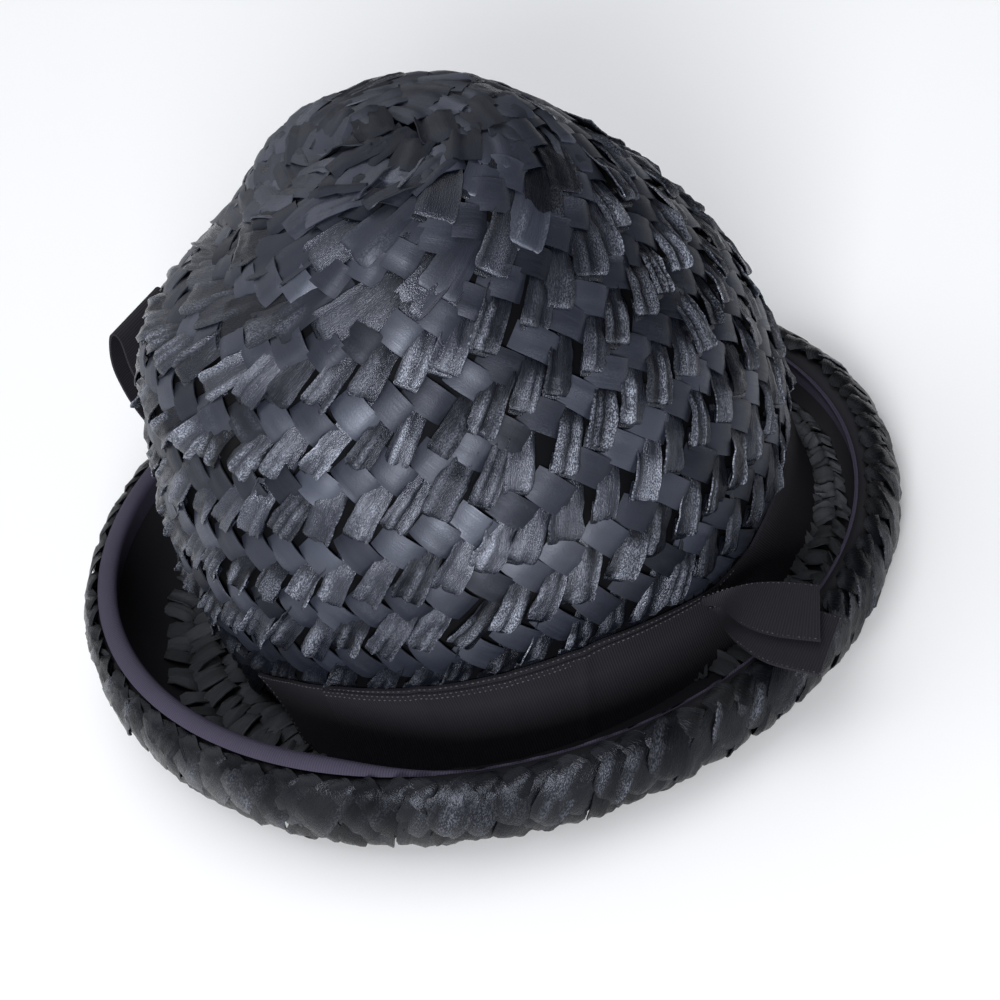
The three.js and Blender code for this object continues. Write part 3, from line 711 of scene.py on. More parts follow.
folded_net, square_net, under_net = straw_net(), straw_net(), straw_net()
turn = FIRST_TURN
while turn / 360 * ROW_PITCH < LAST_CLIMB:
    foot = turn / 360 * ROW_PITCH
    surface = crown_row(turn)
    wander = 1.6 * noise.noise((turn * 0.02, 0.5, 7.0))
    lowest = LOWEST_FOLD - foot
    near_tip = smooth_step(foot, TIP_FROM, TIP_TO)
    # Wear and painted highlight grow up the crown and fade near the tip.
    wear_and_highlight_amount = smooth_step(foot, *WEAR_AND_HIGHLIGHT_RISES) * (1 - TIP_LESS_WEAR_AND_HIGHLIGHT * near_tip)
    # Painted shade: the dye darkens towards the crown's foot.
    painted_shade_tone = DARKEST_PAINTED_SHADE_TONE + (1 - DARKEST_PAINTED_SHADE_TONE) * smooth_step(foot, *PAINTED_SHADE_TONE_RISES)
    if foot + FOLD_REACH > 0 and not hidden_by_band(turn, foot + FOLD_MIDDLE):
        start = (dice.gauss(0, 0.7), max(wander + dice.gauss(0, 0.7), lowest))
        lift = dice.gauss(0, 0.25) + dice.choice(LIFTS)
        lean = STRIP_LEAN - TIP_LEAN * near_tip + dice.gauss(0, 5)
        width = STRIP_WIDTH * dice.uniform(0.86, 1.1) * (1 + TIP_WIDER * near_tip)
        lay_strip(
            square_net if near_tip > dice.uniform(0.3, 1.2) else folded_net, surface, start, lean,
            stretched(FOLDED_STRIP, dice.uniform(0.92, 1.1) + 0.3 * near_tip, lift - near_tip),
            width, 6, 1.0 - TIP_SMOOTHER * near_tip, wear_and_highlight_amount, painted_shade_tone,
        )
        lay_strip(
            under_net, surface, (start[0] - 0.9, max(start[1] - 1.2, lowest)),
            lean, stretched(UNDER_FOLD, 1.0, min(lift, 0)), width * 0.96, 4, 0.3,
        )
    if foot + SQUARE_REACH > 0 and not hidden_by_band(turn, foot + SQUARE_TOP):
        aside, above = SQUARE_PLACE
        lay_strip(
            square_net, surface,
            (aside + dice.gauss(0, 0.5), above + wander + dice.gauss(0, 0.5)),
            180 - STRIP_LEAN + TIP_SQUARE_LEAN * near_tip + dice.gauss(0, 5),
            stretched(SQUARE_STRIP, 1.0, dice.gauss(0, 0.15)),
            STRIP_WIDTH * dice.uniform(1.0, 1.15), 5, 0.2, 0.3 * wear_and_highlight_amount, painted_shade_tone,
        )
    turn += math.degrees(STRIP_SPACING / max(crown_radius(foot + 5), SMALLEST_TURN))

# Over the tip the braid is a small whorl of flattened loops, the middle ones on top.
WHORL = [(31, 15, 1.4), (22, 11, 2.2), (13, 7, 3.0), (4, 3, 3.6)]  # radius, strips, stand-off
for radius, count, stand in WHORL:
    for i in range(count):
        toward = 360 * (i + dice.gauss(0, 0.15)) / count
        lay_strip(
            square_net, over_tip,
            (radius * math.cos(math.radians(toward)), radius * math.sin(math.radians(toward))),
            toward + 90 + dice.gauss(12, 14),
            [(1.2 * along, stand + 0.35 * rise, share) for along, rise, share in SQUARE_STRIP],
            STRIP_WIDTH * dice.uniform(1.1, 1.5), 6, 0.9,
        )

crown_folds = thickened(finished_object("crown_folds", folded_net, glossy_raffia), STRIP_THICK)
crown_rims = thickened(finished_object("crown_fold_rims", under_net, glossy_raffia), STRIP_THICK)
crown_squares = thickened(finished_object("crown_squares", square_net, smooth_raffia), STRIP_THICK)

# %% [markdown]
# Under the strips lies the rest of the braid, of which only dark chinks show, and inside it the
# head's hollow. One closed shell stands for both: a grid is wrapped round the form, its seam is
# joined, and Solidify gives it its wall.

# %% The crown's wall
SHELL_COLUMNS = 160
SHELL_ROWS = 60
SEAM = 0.01  # points closer than this are joined


def wrap_grid(net, columns, rows, place):
    """A grid wrapped round into a tube by place(share round, share up), its seam joined."""
    grid = bmesh.ops.create_grid(net, x_segments=columns, y_segments=rows, size=1.0)
    for vertex in grid["verts"]:
        vertex.co = placed(place((vertex.co.x + 1) / 2, (vertex.co.y + 1) / 2))
    bmesh.ops.remove_doubles(net, verts=net.verts, dist=SEAM * MM)


shell_net = straw_net()
wrap_grid(
    shell_net, SHELL_COLUMNS, SHELL_ROWS,
    lambda round_share, up_share: crown_point(360 * round_share, CROWN_CLIMB * up_share),
)
crown_wall = thickened(finished_object("crown_wall", shell_net, dull_raffia), STRAW_WALL)

# %% [markdown]
# ## The brim's form
# The same braid goes on past the crown's foot: flat where the hat stands, then sweeping up all round
# to a lip that is higher at the back. Its last row is folded over the edge and sewn down.

# %% The brim's form
BRIM_HALF_WIDTH = 121
BRIM_HALF_LENGTH = 121
BRIM_FLAT = 12
BRIM_SQUARENESS = 2.5
LIP_RISE = 24
LIP_TILT = 8
LIP_CREST = 2.4
LIP_ROLL = 8
LIP_ROLL_FRONT = 1.8
BRIM_COLUMNS = 180


def brim_inner(angle):
    turned = math.radians(angle)
    return Vector((
        (CROWN_HALF_WIDTH - STRAW_WALL) * math.cos(turned),
        (CROWN_HALF_LENGTH - STRAW_WALL) * math.sin(turned) - CROWN_FORWARD,
    ))


def brim_lip(angle):
    turned = math.radians(angle)
    return Vector((BRIM_HALF_WIDTH * math.cos(turned), BRIM_HALF_LENGTH * math.sin(turned)))


def lip_rise(angle):
    """The height of the lip's edge."""
    return LIP_RISE + LIP_TILT * math.sin(math.radians(angle))


def brim_point(angle, along, off, lift=0.0):
    """A point off the brim's underside, from the flat ring (0) to the lip (1)."""
    inner, lip = brim_inner(angle), brim_lip(angle)
    reach, rise = (lip - inner).length - BRIM_FLAT, lip_rise(angle)
    turned = min(max(along, 0), 1) * math.pi / 2
    bend = 2 / BRIM_SQUARENESS
    out, up = math.sin(turned) ** bend, 1 - math.cos(turned) ** bend
    normal = Vector((
        -rise * out ** (BRIM_SQUARENESS - 1), reach * (1 - up) ** (BRIM_SQUARENESS - 1),
    )).normalized()
    distance = BRIM_FLAT + reach * out + min(along, 0) * BRIM_FLAT + normal.x * off
    ground = inner + (lip - inner).normalized() * distance
    return Vector((ground.x, ground.y, max(rise * up + normal.y * off, 0) + lift))


# Place along the curve, share of the wall's thickness, and share of the lip's roll.
BRIM_SECTION = [
    (-1.0, 0.0, 0.0), (0.0, 0.0, 0.0), (0.15, 0.0, 0.0), (0.3, 0.0, 0.1), (0.45, 0.0, 0.3),
    (0.6, 0.0, 0.65), (0.75, 0.0, 0.75), (0.9, 0.0, 0.65), (0.97, 0.0, 0.5), (1.0, 0.0, 0.2),
    (1.0, 1.0, 0.0), (0.9, 1.0, 0.0), (0.75, 1.0, 0.0), (0.6, 1.0, 0.0), (0.45, 1.0, 0.0),
    (0.3, 1.0, 0.0), (0.15, 1.0, 0.0), (0.0, 1.0, 0.0), (-1.0, 1.0, 0.0), (-1.0, 0.0, 0.0),
]


def lip_roll(angle):
    """How far the rolled lip stands out from the bare curve."""
    return LIP_ROLL - LIP_ROLL_FRONT * math.sin(math.radians(angle))


def brim_wall_point(round_share, section_share):
    along, wall, roll = BRIM_SECTION[round(section_share * (len(BRIM_SECTION) - 1))]
    angle = -360 * round_share
    return brim_point(angle, along, wall * STRAW_WALL - roll * lip_roll(angle))


brim_net = straw_net()
wrap_grid(brim_net, BRIM_COLUMNS, len(BRIM_SECTION) - 1, brim_wall_point)
brim_wall = finished_object("brim_wall", brim_net, wall_raffia_painted_light)

# %% [markdown]
# The rows of the brim are laid like the crown's, each from a table of its own: how far its folded
# ends stand out, and which way they lie. The row over the lip is made of long glossy strips that
# slant so much that they look like a rope.

# %% The brim's plait
# Distance up the row, place along the brim's curve, stand-off as a share of the lip's roll, and lift
# as a share of the lip's crest.
LIP_ROW = [
    (0, 0.57, -0.96, 0.0), (4, 0.66, -0.98, 0.0), (9, 0.8, -0.95, 0.0), (14, 0.94, -0.8, 0.0),
    (18, 1.0, -0.55, 0.2), (21, 1.0, -0.28, 0.45), (24, 1.0, -0.06, 0.45), (27, 1.0, 0.1, 0.2),
]
UNDER_ROW = [
    (0, 0.42, -0.42, 0.0), (5, 0.52, -0.38, 0.0), (10, 0.64, -0.25, 0.0), (16, 0.78, -0.1, 0.0),
]
FOOT_ROW = [(0, 0.05, 0.0, 0.0), (7, 0.22, 0.0, 0.0), (14, 0.4, 0.0, 0.0), (20, 0.55, 0.0, 0.0)]
LIP_GIRTH = (BRIM_HALF_WIDTH + BRIM_HALF_LENGTH) / 2 + LIP_ROLL
BRIM_CURVE = 40  # mean length of the brim's curve, from the flat ring to the lip
RIBBED = (190, 476)  # the band hides the rest of the brim's inside
OVER_LIP = (14, 24)  # distances up the lip's row between which its strips turn over the edge
OVER_LIP_STAND = 0.8  # how much of its stand-off a strip keeps there
BRIM_PAINTED_SHADE_TONE = 0.5  # the brim is painted darker than the crown, as shade


def outer_row(table):
    """A row on the brim's outside: its surface at any angle, and the girth it is spaced along."""
    distances = [row[0] for row in table]

    def at(turn):
        def surface(s, t, stand):
            angle = turn + math.degrees(s / LIP_GIRTH)
            along, roll, lift = (
                float(np.interp(t, distances, [row[i] for row in table])) for i in (1, 2, 3)
            )
            over = smooth_step(t, *OVER_LIP) if table is LIP_ROW else 0
            return brim_point(
                angle, along, lip_roll(angle) * roll - stand * (1 - over),
                LIP_CREST * lift + stand * over * OVER_LIP_STAND,
            )
        return surface
    return at, LIP_GIRTH


def inner_row(first):
    """A row inside the brim, from a distance out from the crown's foot."""
    def at(turn):
        def surface(s, t, stand):
            angle = turn - math.degrees(s / CROWN_RADIUS)
            out = first + t - BRIM_FLAT
            along = out / BRIM_FLAT if out < 0 else out / BRIM_CURVE
            return brim_point(angle, along, STRAW_WALL + stand)
        return surface
    return at, CROWN_RADIUS


def fill_row(net, row, turns, start, spacing, side_view, lean, width, crumple, wear_and_highlight_amount=0.0):
    """Lays strips round the brim between two angles, each from the same start in its own place."""
    row_at, girth = row
    count = round(math.radians(turns[1] - turns[0]) * girth / spacing)
    for i in range(count):
        turn = turns[0] + (turns[1] - turns[0]) * (i + dice.gauss(0, 0.09)) / count
        # The brim's strips are painted darker than the crown's, as shade.
        lay_strip(
            net, row_at(turn), (0, start + dice.gauss(0, 0.6)), lean + dice.gauss(0, 6),
            stretched(side_view, dice.uniform(0.85, 1.15), dice.gauss(0, 0.25)),
            width * dice.uniform(0.82, 1.18), 5, crumple, wear_and_highlight_amount, BRIM_PAINTED_SHADE_TONE,
        )


LIP_FOLD = [
    (3.0, 0.0, 0.7), (1.0, 0.0, 0.7), (0.0, 0.4, 0.68), (-0.2, 0.9, 0.7), (0.3, 1.4, 0.78),
    (1.4, 1.7, 0.92), (3.2, 1.8, 1.0), (5.2, 1.8, 1.0), (7.4, 1.6, 1.0), (9.6, 1.3, 1.0),
    (12.0, 0.9, 0.95), (15.0, 0.3, 0.85),
]
LEAF_STRIP = [
    (-1.0, 0.9, 0.5), (0.0, 1.5, 0.66), (1.4, 1.9, 0.84), (3.2, 2.1, 0.97), (5.4, 2.2, 1.0),
    (7.8, 2.1, 1.0), (10.2, 1.8, 1.0), (12.8, 1.4, 0.95), (15.6, 0.8, 0.85), (18.0, 0.3, 0.7),
]
RIB_STRIP = [
    (0.0, 0.2, 0.8), (0.8, 1.3, 1.0), (2.8, 1.9, 1.0), (5.0, 1.9, 1.0), (7.4, 1.5, 0.95),
    (9.8, 0.2, 0.8),
]
lip_net, outer_net, inner_net = straw_net(), straw_net(), straw_net()
lip_row, under_row, foot_row = (outer_row(table) for table in (LIP_ROW, UNDER_ROW, FOOT_ROW))
# Net, row, angles between which it lies, start up the row, spacing, side view, lean, width, crumple,
# and wear with painted highlight.
fill_row(lip_net, lip_row, (0, 360), 0.5, 9.4, LIP_FOLD, 52, 9.0, 0.5)
fill_row(lip_net, lip_row, (2, 362), 8.5, 9.6, LEAF_STRIP, 38, 9.4, 0.45, 0.5)
fill_row(lip_net, lip_row, (1, 361), 15.5, 9.0, RIB_STRIP, 140, 7.6, 0.4)
fill_row(outer_net, under_row, (2, 362), 0.0, 9.6, FOLDED_STRIP, 52, 8.0, 0.6)
fill_row(outer_net, foot_row, (4, 364), 4.0, 9.6, SQUARE_STRIP, 128, 8.4, 0.3)
fill_row(outer_net, foot_row, (4, 364), -1.0, 9.6, LIP_FOLD, 52, 8.0, 0.8)
fill_row(inner_net, inner_row(2.5), RIBBED, 0.0, 5.6, RIB_STRIP, 68, 5.4, 1.0)
fill_row(inner_net, inner_row(9.5), RIBBED, 0.0, 5.8, RIB_STRIP, 112, 5.4, 1.0)
fill_row(inner_net, inner_row(16.5), RIBBED, 0.0, 6.2, RIB_STRIP, 72, 5.4, 1.0)
lip_wrap = thickened(finished_object("lip_wrap", lip_net, lip_raffia_painted_shade), STRIP_THICK)
brim_outer = thickened(finished_object("brim_outer_rows", outer_net, smooth_raffia), STRIP_THICK)
brim_ribs = thickened(finished_object("brim_inner_ribs", inner_net, gutter_raffia_painted_light), STRIP_THICK)

# %% [markdown]
# ## Ribbon
# The band is grosgrain, a ribbon woven over thick weft cords, so fine ribs cross it from edge to
# edge. It hardly shines. The edge tape is a narrower, softer ribbon of a faded purple-navy.

# %% Ribbon materials
def ribbed_cloth(name, dark, light, rib, depth):
    """A ribbon whose ribs cross it, so many millimetres apart."""
    material, tree, shader = new_material(name)
    weave = add_node(tree, "ShaderNodeAttribute", attribute_name="straw").outputs["Vector"]
    along = add_node(tree, "ShaderNodeSeparateXYZ", {0: weave}).outputs["X"]
    phase = computed(tree, "MULTIPLY", along, 2 * math.pi / rib)
    ribs = computed(tree, "SINE", phase)
    where = add_node(tree, "ShaderNodeTexCoord").outputs["Object"]
    lint = cloudy(tree, where, 900.0)
    wear_and_highlight = cloudy(tree, where, 40.0)
    # Painted highlight and shade: the ribs' crests are lighter and their grooves darker.
    rib_crests_painted_light = mapped(tree, ribs, -1.0, 1.0, 0.0, 0.6)
    shade = computed(tree, "MULTIPLY_ADD", wear_and_highlight, 0.5, rib_crests_painted_light)
    colour = blended(tree, shade, linear(dark), linear(light))
    ribbing = add_node(
        tree, "ShaderNodeBump", {"Height": ribs, "Strength": 1.0, "Distance": depth * MM},
    ).outputs[0]
    fuzz = add_node(
        tree,
        "ShaderNodeBump",
        {"Height": lint, "Strength": 0.5, "Distance": 0.1 * MM, "Normal": ribbing},
    ).outputs[0]
    tree.links.new(colour, shader.inputs["Base Color"])
    tree.links.new(fuzz, shader.inputs["Normal"])
    shader.inputs["Roughness"].default_value = 0.75
    shader.inputs["Specular IOR Level"].default_value = 0.2
    return material


# The ribs are 0.6 mm apart on the real ribbon, and 0.8 mm here so that they show.
grosgrain = ribbed_cloth("black_grosgrain", "#121116", "#212026", 0.8, 0.05)
petersham = ribbed_cloth("faded_petersham_tape", "#2a2733", "#3d394b", 0.8, 0.04)
print("Ribbons:", grosgrain.name, "and", petersham.name)

# %% [markdown]
# ## Band, tails and loop
# Each ribbon runs between two edges. The band follows the crown. The tails and the loop are drawn
# through the CAD model's few places for their two edges, with a smooth curve through each.

# %% Band, tails and loop
RIBBON_THICK = 1.2
BAND_THICK = RIBBON_THICK * 0.8
SECOND_THICK = 0.7
LOOSE_THICK = RIBBON_THICK * 0.7
SECOND_GAP = 0.9  # how far the band's second layer stands off the first
BAND_EASE = 0.8
BAND_END_SLANT = 12
BAND_FLARE = 6
BAND_CREASES = [(141, -3, -0.4), (164, 4, 0.5), (152, 2, 0.25)]  # angle, slant, depth
CREASE_SPREAD = 1.1  # degrees
BAND_RIPPLE = 0.6
SECOND_FROM, SECOND_TO = 119, 196
SECOND_END_SLANT = 2
SECOND_DROP = 2.2
TAIL_LENGTH = 45
TAIL_ANGLE = 193
TAIL_DROP = 3
TAIL_ON_LIP = 0.5
LOOP_LENGTH = 66
LOOP_ANGLE = 392
LOOP_DROP = 14
ROOT_GAP = PIECE_GAP + RIBBON_THICK / 2
EDGE_STEPS = 12  # from each place of a ribbon's table to the next
# Outwards, ahead and up for the top edge, then for the low edge, as shares of the tail's length.
UPPER_TAIL = [
    (0.0, -0.06, 0.09, 0.0, -0.05, 0.02), (0.16, 0.05, 0.14, 0.16, -0.04, 0.04),
    (0.32, 0.16, 0.14, 0.44, -0.14, 0.06), (0.5, 0.27, 0.12, 0.7, -0.11, 0.065),
    (0.67, 0.37, 0.1, 0.98, 0.02, 0.055),
]
LOWER_TAIL = [
    (0.0, -0.03, -0.03, 0.0, 0.02, -0.1), (0.15, 0.04, 0.01, 0.17, -0.08, -0.07),
    (0.37, 0.14, 0.02, 0.45, -0.23, -0.01), (0.6, 0.22, 0.01, 0.78, -0.27, 0.0),
    (0.9, 0.29, 0.0, 1.12, -0.16, -0.02),
]
# Outwards and up, then how far the two edges stand to the back and front.
LOOP_PATH = [
    (0.0, 0.0, 0.06, -0.06), (0.2, 0.16, 0.14, -0.12), (0.36, 0.46, 0.22, -0.2),
    (0.46, 0.74, 0.2, -0.26), (0.48, 0.9, 0.13, -0.27), (0.42, 0.9, 0.13, -0.27),
    (0.34, 0.74, 0.2, -0.26), (0.22, 0.46, 0.22, -0.2), (0.09, 0.2, 0.14, -0.12),
    (0.0, 0.08, 0.06, -0.06),
]


def climb_to(height):
    """How far up the crown's side a height is."""
    return float(np.interp(height - CROWN_BASE, crown_path[:, 1], path_climbs))


def band_point(angle, share, off):
    height = BAND_LOW + (band_top(angle) - BAND_LOW) * share
    return crown_point(angle, climb_to(height), BAND_EASE + off)


def ribbon_net(steps, cross_steps, place):
    """A ribbon between two edges: place(share along, share up) gives its outer face."""
    net = straw_net()
    weave = net.verts.layers.float_vector["straw"]
    grid = bmesh.ops.create_grid(net, x_segments=steps, y_segments=cross_steps, size=1.0)
    lengths = [0.0]
    middle_line = [place(i / steps, 0.5) for i in range(steps + 1)]
    for start, end in zip(middle_line, middle_line[1:]):
        lengths.append(lengths[-1] + (end - start).length)
    widest = max((place(i / steps, 1) - place(i / steps, 0)).length for i in range(steps + 1))
    for vertex in grid["verts"]:
        along, up = (vertex.co.x + 1) / 2, (vertex.co.y + 1) / 2
        vertex.co = placed(place(along, up))
        vertex[weave] = (lengths[round(along * steps)], up, 0)
    cloth_area = sum(face.calc_area() for face in net.faces)
    length = max(lengths[-1], cloth_area / MM**2 / widest)
    return net, {"flat": (widest * MM, length * MM), "area": cloth_area}


def band_slack(angle, up):
    """How far the band stands off: its foot flares, and it has soft creases."""
    flare = BAND_FLARE * (1 - up) ** 2
    crease = sum(
        depth * math.exp(-((angle - at - slant * up) / CREASE_SPREAD) ** 2)
        for at, slant, depth in BAND_CREASES
    )
    return flare + crease + BAND_RIPPLE * noise.noise((angle * 0.06, up * 1.3, 3.0)) * up


def band_face(along, up):
    start = BAND_FROM + BAND_END_SLANT * (1 - up)
    angle = start + (BAND_TO - start) * along
    return band_point(angle, up, BAND_THICK + band_slack(angle, up))


def second_face(along, up):
    """The ribbon goes round twice at the front of the bow, its edges a little apart."""
    start = SECOND_FROM + SECOND_END_SLANT * (1 - up)
    angle = start + (SECOND_TO - start) * along
    drop = SECOND_DROP * math.sin(math.pi * along) ** 0.7
    share = up * (1 - drop / BAND_HEIGHT)
    return band_point(angle, share, BAND_THICK + SECOND_GAP + band_slack(angle, up))


def seat_on_band(angle, height):
    """A place against the band, with the directions round it and out of it."""
    seat_off = BAND_EASE + RIBBON_THICK + PIECE_GAP
    seat, after, before = (
        crown_point(angle + turn, climb_to(height), seat_off) for turn in (0, 1, -1)
    )
    round_way = after - before
    round_way.z = 0
    round_way.normalize()
    return seat, round_way, Vector((round_way.y, -round_way.x, 0))


def between_edges(top_points, low_points, steps):
    """A place function for a ribbon between two smooth edges."""
    top, low = smooth_path(top_points, steps), smooth_path(low_points, steps)

    def place(along, up):
        i = min(round(along * (len(top) - 1)), len(top) - 1)
        return low[i].lerp(top[i], up)
    return place, len(top) - 1


def tail_edges(table):
    seat, round_way, out_way = seat_on_band(TAIL_ANGLE, band_top(TAIL_ANGLE) - TAIL_DROP)
    on_lip = lip_rise(TAIL_ANGLE) + LIP_CREST + PIECE_GAP + RIBBON_THICK / 2

    def place(out, ahead, up):
        point = seat + out_way * (TAIL_LENGTH * out + ROOT_GAP) + round_way * TAIL_LENGTH * ahead
        path_height = seat.z + (on_lip - seat.z) * smooth_step(out, 0, TAIL_ON_LIP)
        point.z = path_height + TAIL_LENGTH * up
        return point
    return [place(*row[:3]) for row in table], [place(*row[3:]) for row in table]


def loop_edges():
    seat, round_way, out_way = seat_on_band(LOOP_ANGLE, band_top(LOOP_ANGLE) - LOOP_DROP)

    def place(out, up, ahead):
        return (
            seat + out_way * (LOOP_LENGTH * out + ROOT_GAP) + round_way * LOOP_LENGTH * ahead
            + Vector((0, 0, LOOP_LENGTH * up))
        )
    back_edge = [place(out, up, aside) for out, up, aside, _ in LOOP_PATH]
    front_edge = [place(out, up, aside) for out, up, _, aside in LOOP_PATH]
    return back_edge, front_edge


def make_ribbon(name, edges):
    place, count = between_edges(*edges, EDGE_STEPS)
    net, cut = ribbon_net(count, 10, place)
    bmesh.ops.recalc_face_normals(net, faces=net.faces)
    ribbon = thickened(finished_object(name, net, grosgrain), LOOSE_THICK)
    ribbon.modifiers["thickness"].offset = 0
    return ribbon, cut


band_net, band_cut = ribbon_net(360, 12, band_face)
band = thickened(finished_object("grosgrain_band", band_net, grosgrain), BAND_THICK)
second_net, second_cut = ribbon_net(120, 12, second_face)
second_layer = thickened(
    finished_object("second_layer", second_net, grosgrain), SECOND_THICK,
)
upper_tail, upper_cut = make_ribbon("upper_tail", tail_edges(UPPER_TAIL))
lower_tail, lower_cut = make_ribbon("lower_tail", tail_edges(LOWER_TAIL))
loop, loop_cut = make_ribbon("ribbon_loop", loop_edges())
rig.sheet(band, held="stretched", rests_on=["crown"], **band_cut)
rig.sheet(second_layer, held="stretched", rests_on=[band], **second_cut)
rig.sheet(upper_tail, held="draped", rests_on=[band, "brim"], **upper_cut)
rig.sheet(lower_tail, held="draped", rests_on=[band, "brim"], **lower_cut)
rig.sheet(loop, held="folded", rests_on=[band], **loop_cut)
for piece, cut in (
    (band, band_cut), (second_layer, second_cut), (upper_tail, upper_cut),
    (lower_tail, lower_cut), (loop, loop_cut),
):
    print(piece.name, "is cut to", [round(side / MM, 1) for side in cut["flat"]], "mm")

# %% [markdown]
# Picot stitches show as small grey dashes along the ribbon's edges. Each is a tiny stretched bead.

# %% Picot stitches
STITCH_PITCH = 1.6
STITCH_RADIUS = 0.28
STITCH_ABOVE = 0.3  # so that the ribbon doesn't swallow them
NEAR_EDGE = 0.985  # share of the band's width at which its top row of stitches runs
thread, _, thread_shader = new_material("grey_thread")
thread_shader.inputs["Base Color"].default_value = linear("#3e3c44")
thread_shader.inputs["Roughness"].default_value = 0.6


def sew(net, path):
    """Lays stitches along a path of points in millimetres."""
    spans = [(end - start).length for start, end in zip(path, path[1:])]
    marks = np.concatenate([[0], np.cumsum(spans)])
    for mark in np.arange(STITCH_PITCH / 2, marks[-1], STITCH_PITCH):
        i = min(int(np.searchsorted(marks, mark, side="right")) - 1, len(spans) - 1)
        point = path[i].lerp(path[i + 1], (mark - marks[i]) / spans[i])
        heading = (path[i + 1] - path[i]).to_track_quat("X", "Z").to_matrix().to_4x4()
        size = dice.uniform(0.7, 1.1)
        bmesh.ops.create_icosphere(
            net, subdivisions=1, radius=STITCH_RADIUS * MM,
            matrix=Matrix.Translation(placed(point)) @ heading
            @ Matrix.Diagonal((1.7 * size, 0.8, 0.8 * size, 1)),
        )


def edge_path(place, up, start=0.0, end=1.0, steps=80):
    return [place(start + (end - start) * i / steps, up) for i in range(steps + 1)]


stitch_net = bmesh.new()
sew(stitch_net, edge_path(band_face, NEAR_EDGE, 0.0, 0.34))
sew(stitch_net, [band_face(0.002, 1 - i / 20) for i in range(21)])
sew(stitch_net, edge_path(second_face, NEAR_EDGE))
sew(stitch_net, edge_path(second_face, 0.93, 0.0, 0.6))
for table in (UPPER_TAIL, LOWER_TAIL):
    tail_top, tail_low = (smooth_path(edge, EDGE_STEPS) for edge in tail_edges(table))
    for share in (0.02, 0.98):
        sew(stitch_net, [
            low.lerp(top, share) + Vector((0, 0, STITCH_ABOVE))
            for top, low in zip(tail_top, tail_low)
        ])
stitches = finished_object("picot_stitches", stitch_net, thread)

# %% [markdown]
# The cut end of the lower tail has begun to fray, most of all at its far corner.

# %% Frayed threads
THREADS = 26
THREAD_LENGTHS = (0.5, 1.5)
CORNER_EXTRA = 2.2  # length at the far corner
THREAD_SPREAD = 0.22
THREAD_THICK = 0.15
lower_top, lower_low = tail_edges(LOWER_TAIL)
fray_net = bmesh.new()
for i in range(THREADS):
    share = i / (THREADS - 1)
    root = lower_low[-1].lerp(lower_top[-1], share)
    outward = (root - lower_low[-2].lerp(lower_top[-2], share)).normalized()
    heading = outward + Vector([dice.gauss(0, THREAD_SPREAD) for _ in range(3)])
    length = dice.uniform(*THREAD_LENGTHS) + CORNER_EXTRA * smooth_step(share, 0.75, 1)
    bmesh.ops.create_icosphere(
        fray_net, subdivisions=1, radius=length / 2 * MM,
        matrix=Matrix.Translation(placed(root + heading * length * 0.35))
        @ heading.to_track_quat("X", "Z").to_matrix().to_4x4()
        @ Matrix.Diagonal((1, THREAD_THICK / length, THREAD_THICK / length, 1)),
    )
fray = finished_object("frayed_threads", fray_net, grosgrain)

# %% [markdown]
# The tape is folded over the lip's edge. On the left it rolls well over, so that it shows from
# outside, and towards the right it slips inside.

# %% Edge tape
TAPE_WIDTH = 7
TAPE_THICK = 0.6
TAPE_STEPS = 240
# Share of the tape's climb up the inner face, distance in from the lip, and height over its edge.
TAPE_SECTION = [
    (0.3, 2.6, 0.0), (0.7, 3.8, 0.2), (1.0, 5.4, 1.2), (1.0, 5.6, 2.6), (1.0, 4.8, 3.6),
    (1.0, 3.4, 3.9), (1.0, 1.8, 3.7), (1.0, 0.4, 3.1), (1.0, -0.6, 2.4),
]
TAPE_GOES_IN = (126, 150)  # degrees between which the tape slips inside
TAPE_COMES_OUT = (320, 359)  # and between which it comes out again
TAPE_IN = 2.6  # how far in from the lip it then lies
TAPE_GATHERS = 0.8  # share of the way there that each of its rows goes
TAPE_BELOW = 0.4  # how far under the lip's edge it then ends


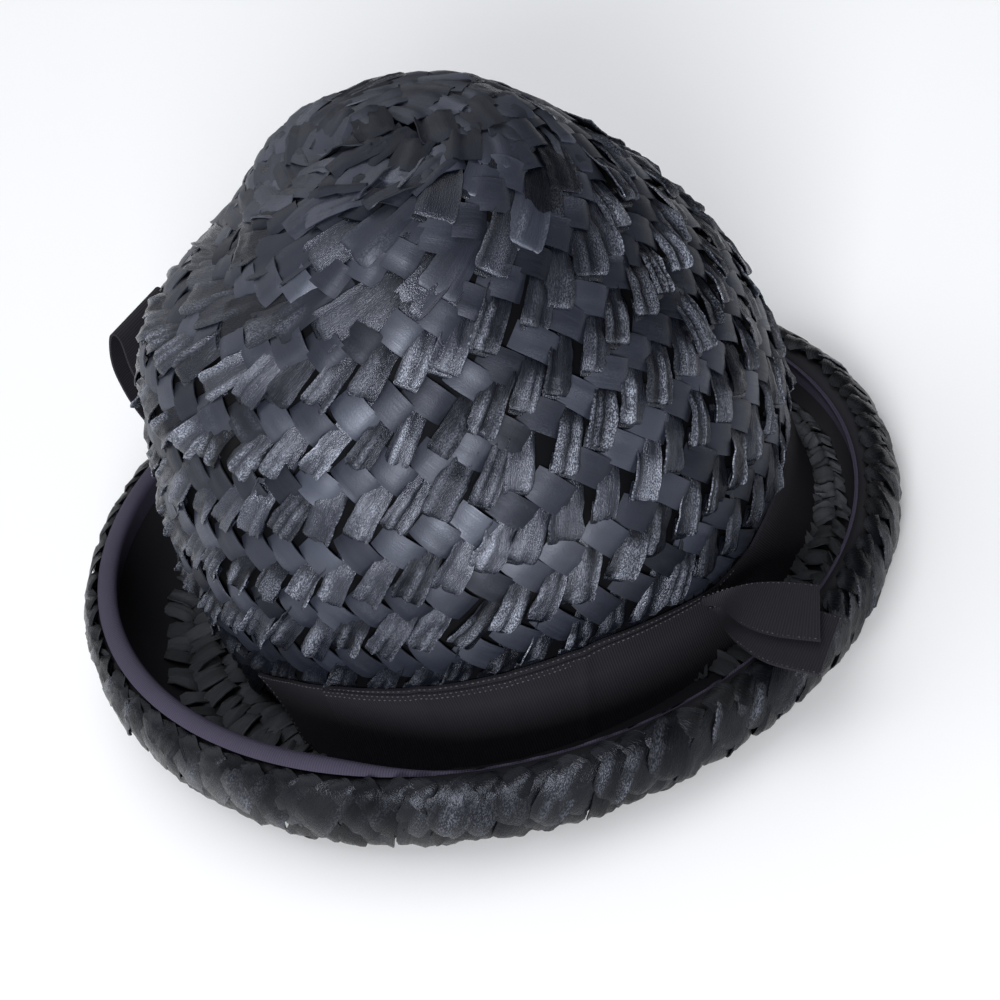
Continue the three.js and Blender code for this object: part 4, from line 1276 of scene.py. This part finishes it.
def tape_point(angle, row):
    climb, inwards, lift = TAPE_SECTION[row]
    inner, lip = brim_inner(angle), brim_lip(angle)
    reach = (lip - inner).length - BRIM_FLAT
    curve = math.pi / 2 * math.sqrt((reach**2 + lip_rise(angle) ** 2) / 2)
    low = 1 - TAPE_WIDTH / curve
    inside = smooth_step(angle % 360, *TAPE_GOES_IN)
    inside *= 1 - smooth_step(angle % 360, *TAPE_COMES_OUT)
    inwards += (TAPE_IN - inwards) * TAPE_GATHERS * inside
    lift -= (lift + TAPE_BELOW) * inside
    return brim_point(angle, low + (1 - low) * climb, inwards, lift)


tape_net = straw_net()
tape_weave = tape_net.verts.layers.float_vector["straw"]
tape_rows = len(TAPE_SECTION) - 1
tape_grid = bmesh.ops.create_grid(
    tape_net, x_segments=TAPE_STEPS, y_segments=tape_rows, size=1.0,
)
for vertex in tape_grid["verts"]:
    angle = -360 * (vertex.co.x + 1) / 2
    row = round((vertex.co.y + 1) / 2 * tape_rows)
    vertex[tape_weave] = (math.radians(-angle) * BRIM_HALF_WIDTH, row, 0)
    vertex.co = placed(tape_point(angle, row))
bmesh.ops.remove_doubles(tape_net, verts=tape_net.verts, dist=SEAM * MM)
tape = thickened(finished_object("edge_tape_cloth", tape_net, petersham), TAPE_THICK)

# %% [markdown]
# ## Hand over
# No piece of the hat moves, so all of them ride on its one body. Those that show a solid of the CAD
# model take its place, and each says whether it is of straw, ribbon or tape.

# %% Hand over to the frame
STRAW_PIECES = (
    crown_folds, crown_rims, crown_squares, crown_wall, brim_wall, lip_wrap, brim_outer,
    brim_ribs,
)
for piece in STRAW_PIECES:
    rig.ride(piece, "root")
    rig.slot(piece, "straw")
for piece in (band, second_layer, upper_tail, lower_tail, loop, stitches, fray):
    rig.ride(piece, "root")
    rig.slot(piece, "ribbon")
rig.ride(tape, "root")
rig.slot(tape, "tape")
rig.replaces(crown_wall, "crown")
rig.replaces(brim_wall, "brim")
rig.replaces(band, "band")
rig.replaces(upper_tail, "tail_upper")
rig.replaces(lower_tail, "tail_lower")
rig.replaces(loop, "side_loop")
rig.replaces(tape, "edge_tape")
low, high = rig.bounds()
with open("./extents.json", "w") as report:
    json.dump({"cad": [list(cad_low), list(cad_high)], "visual": [list(low), list(high)]}, report)
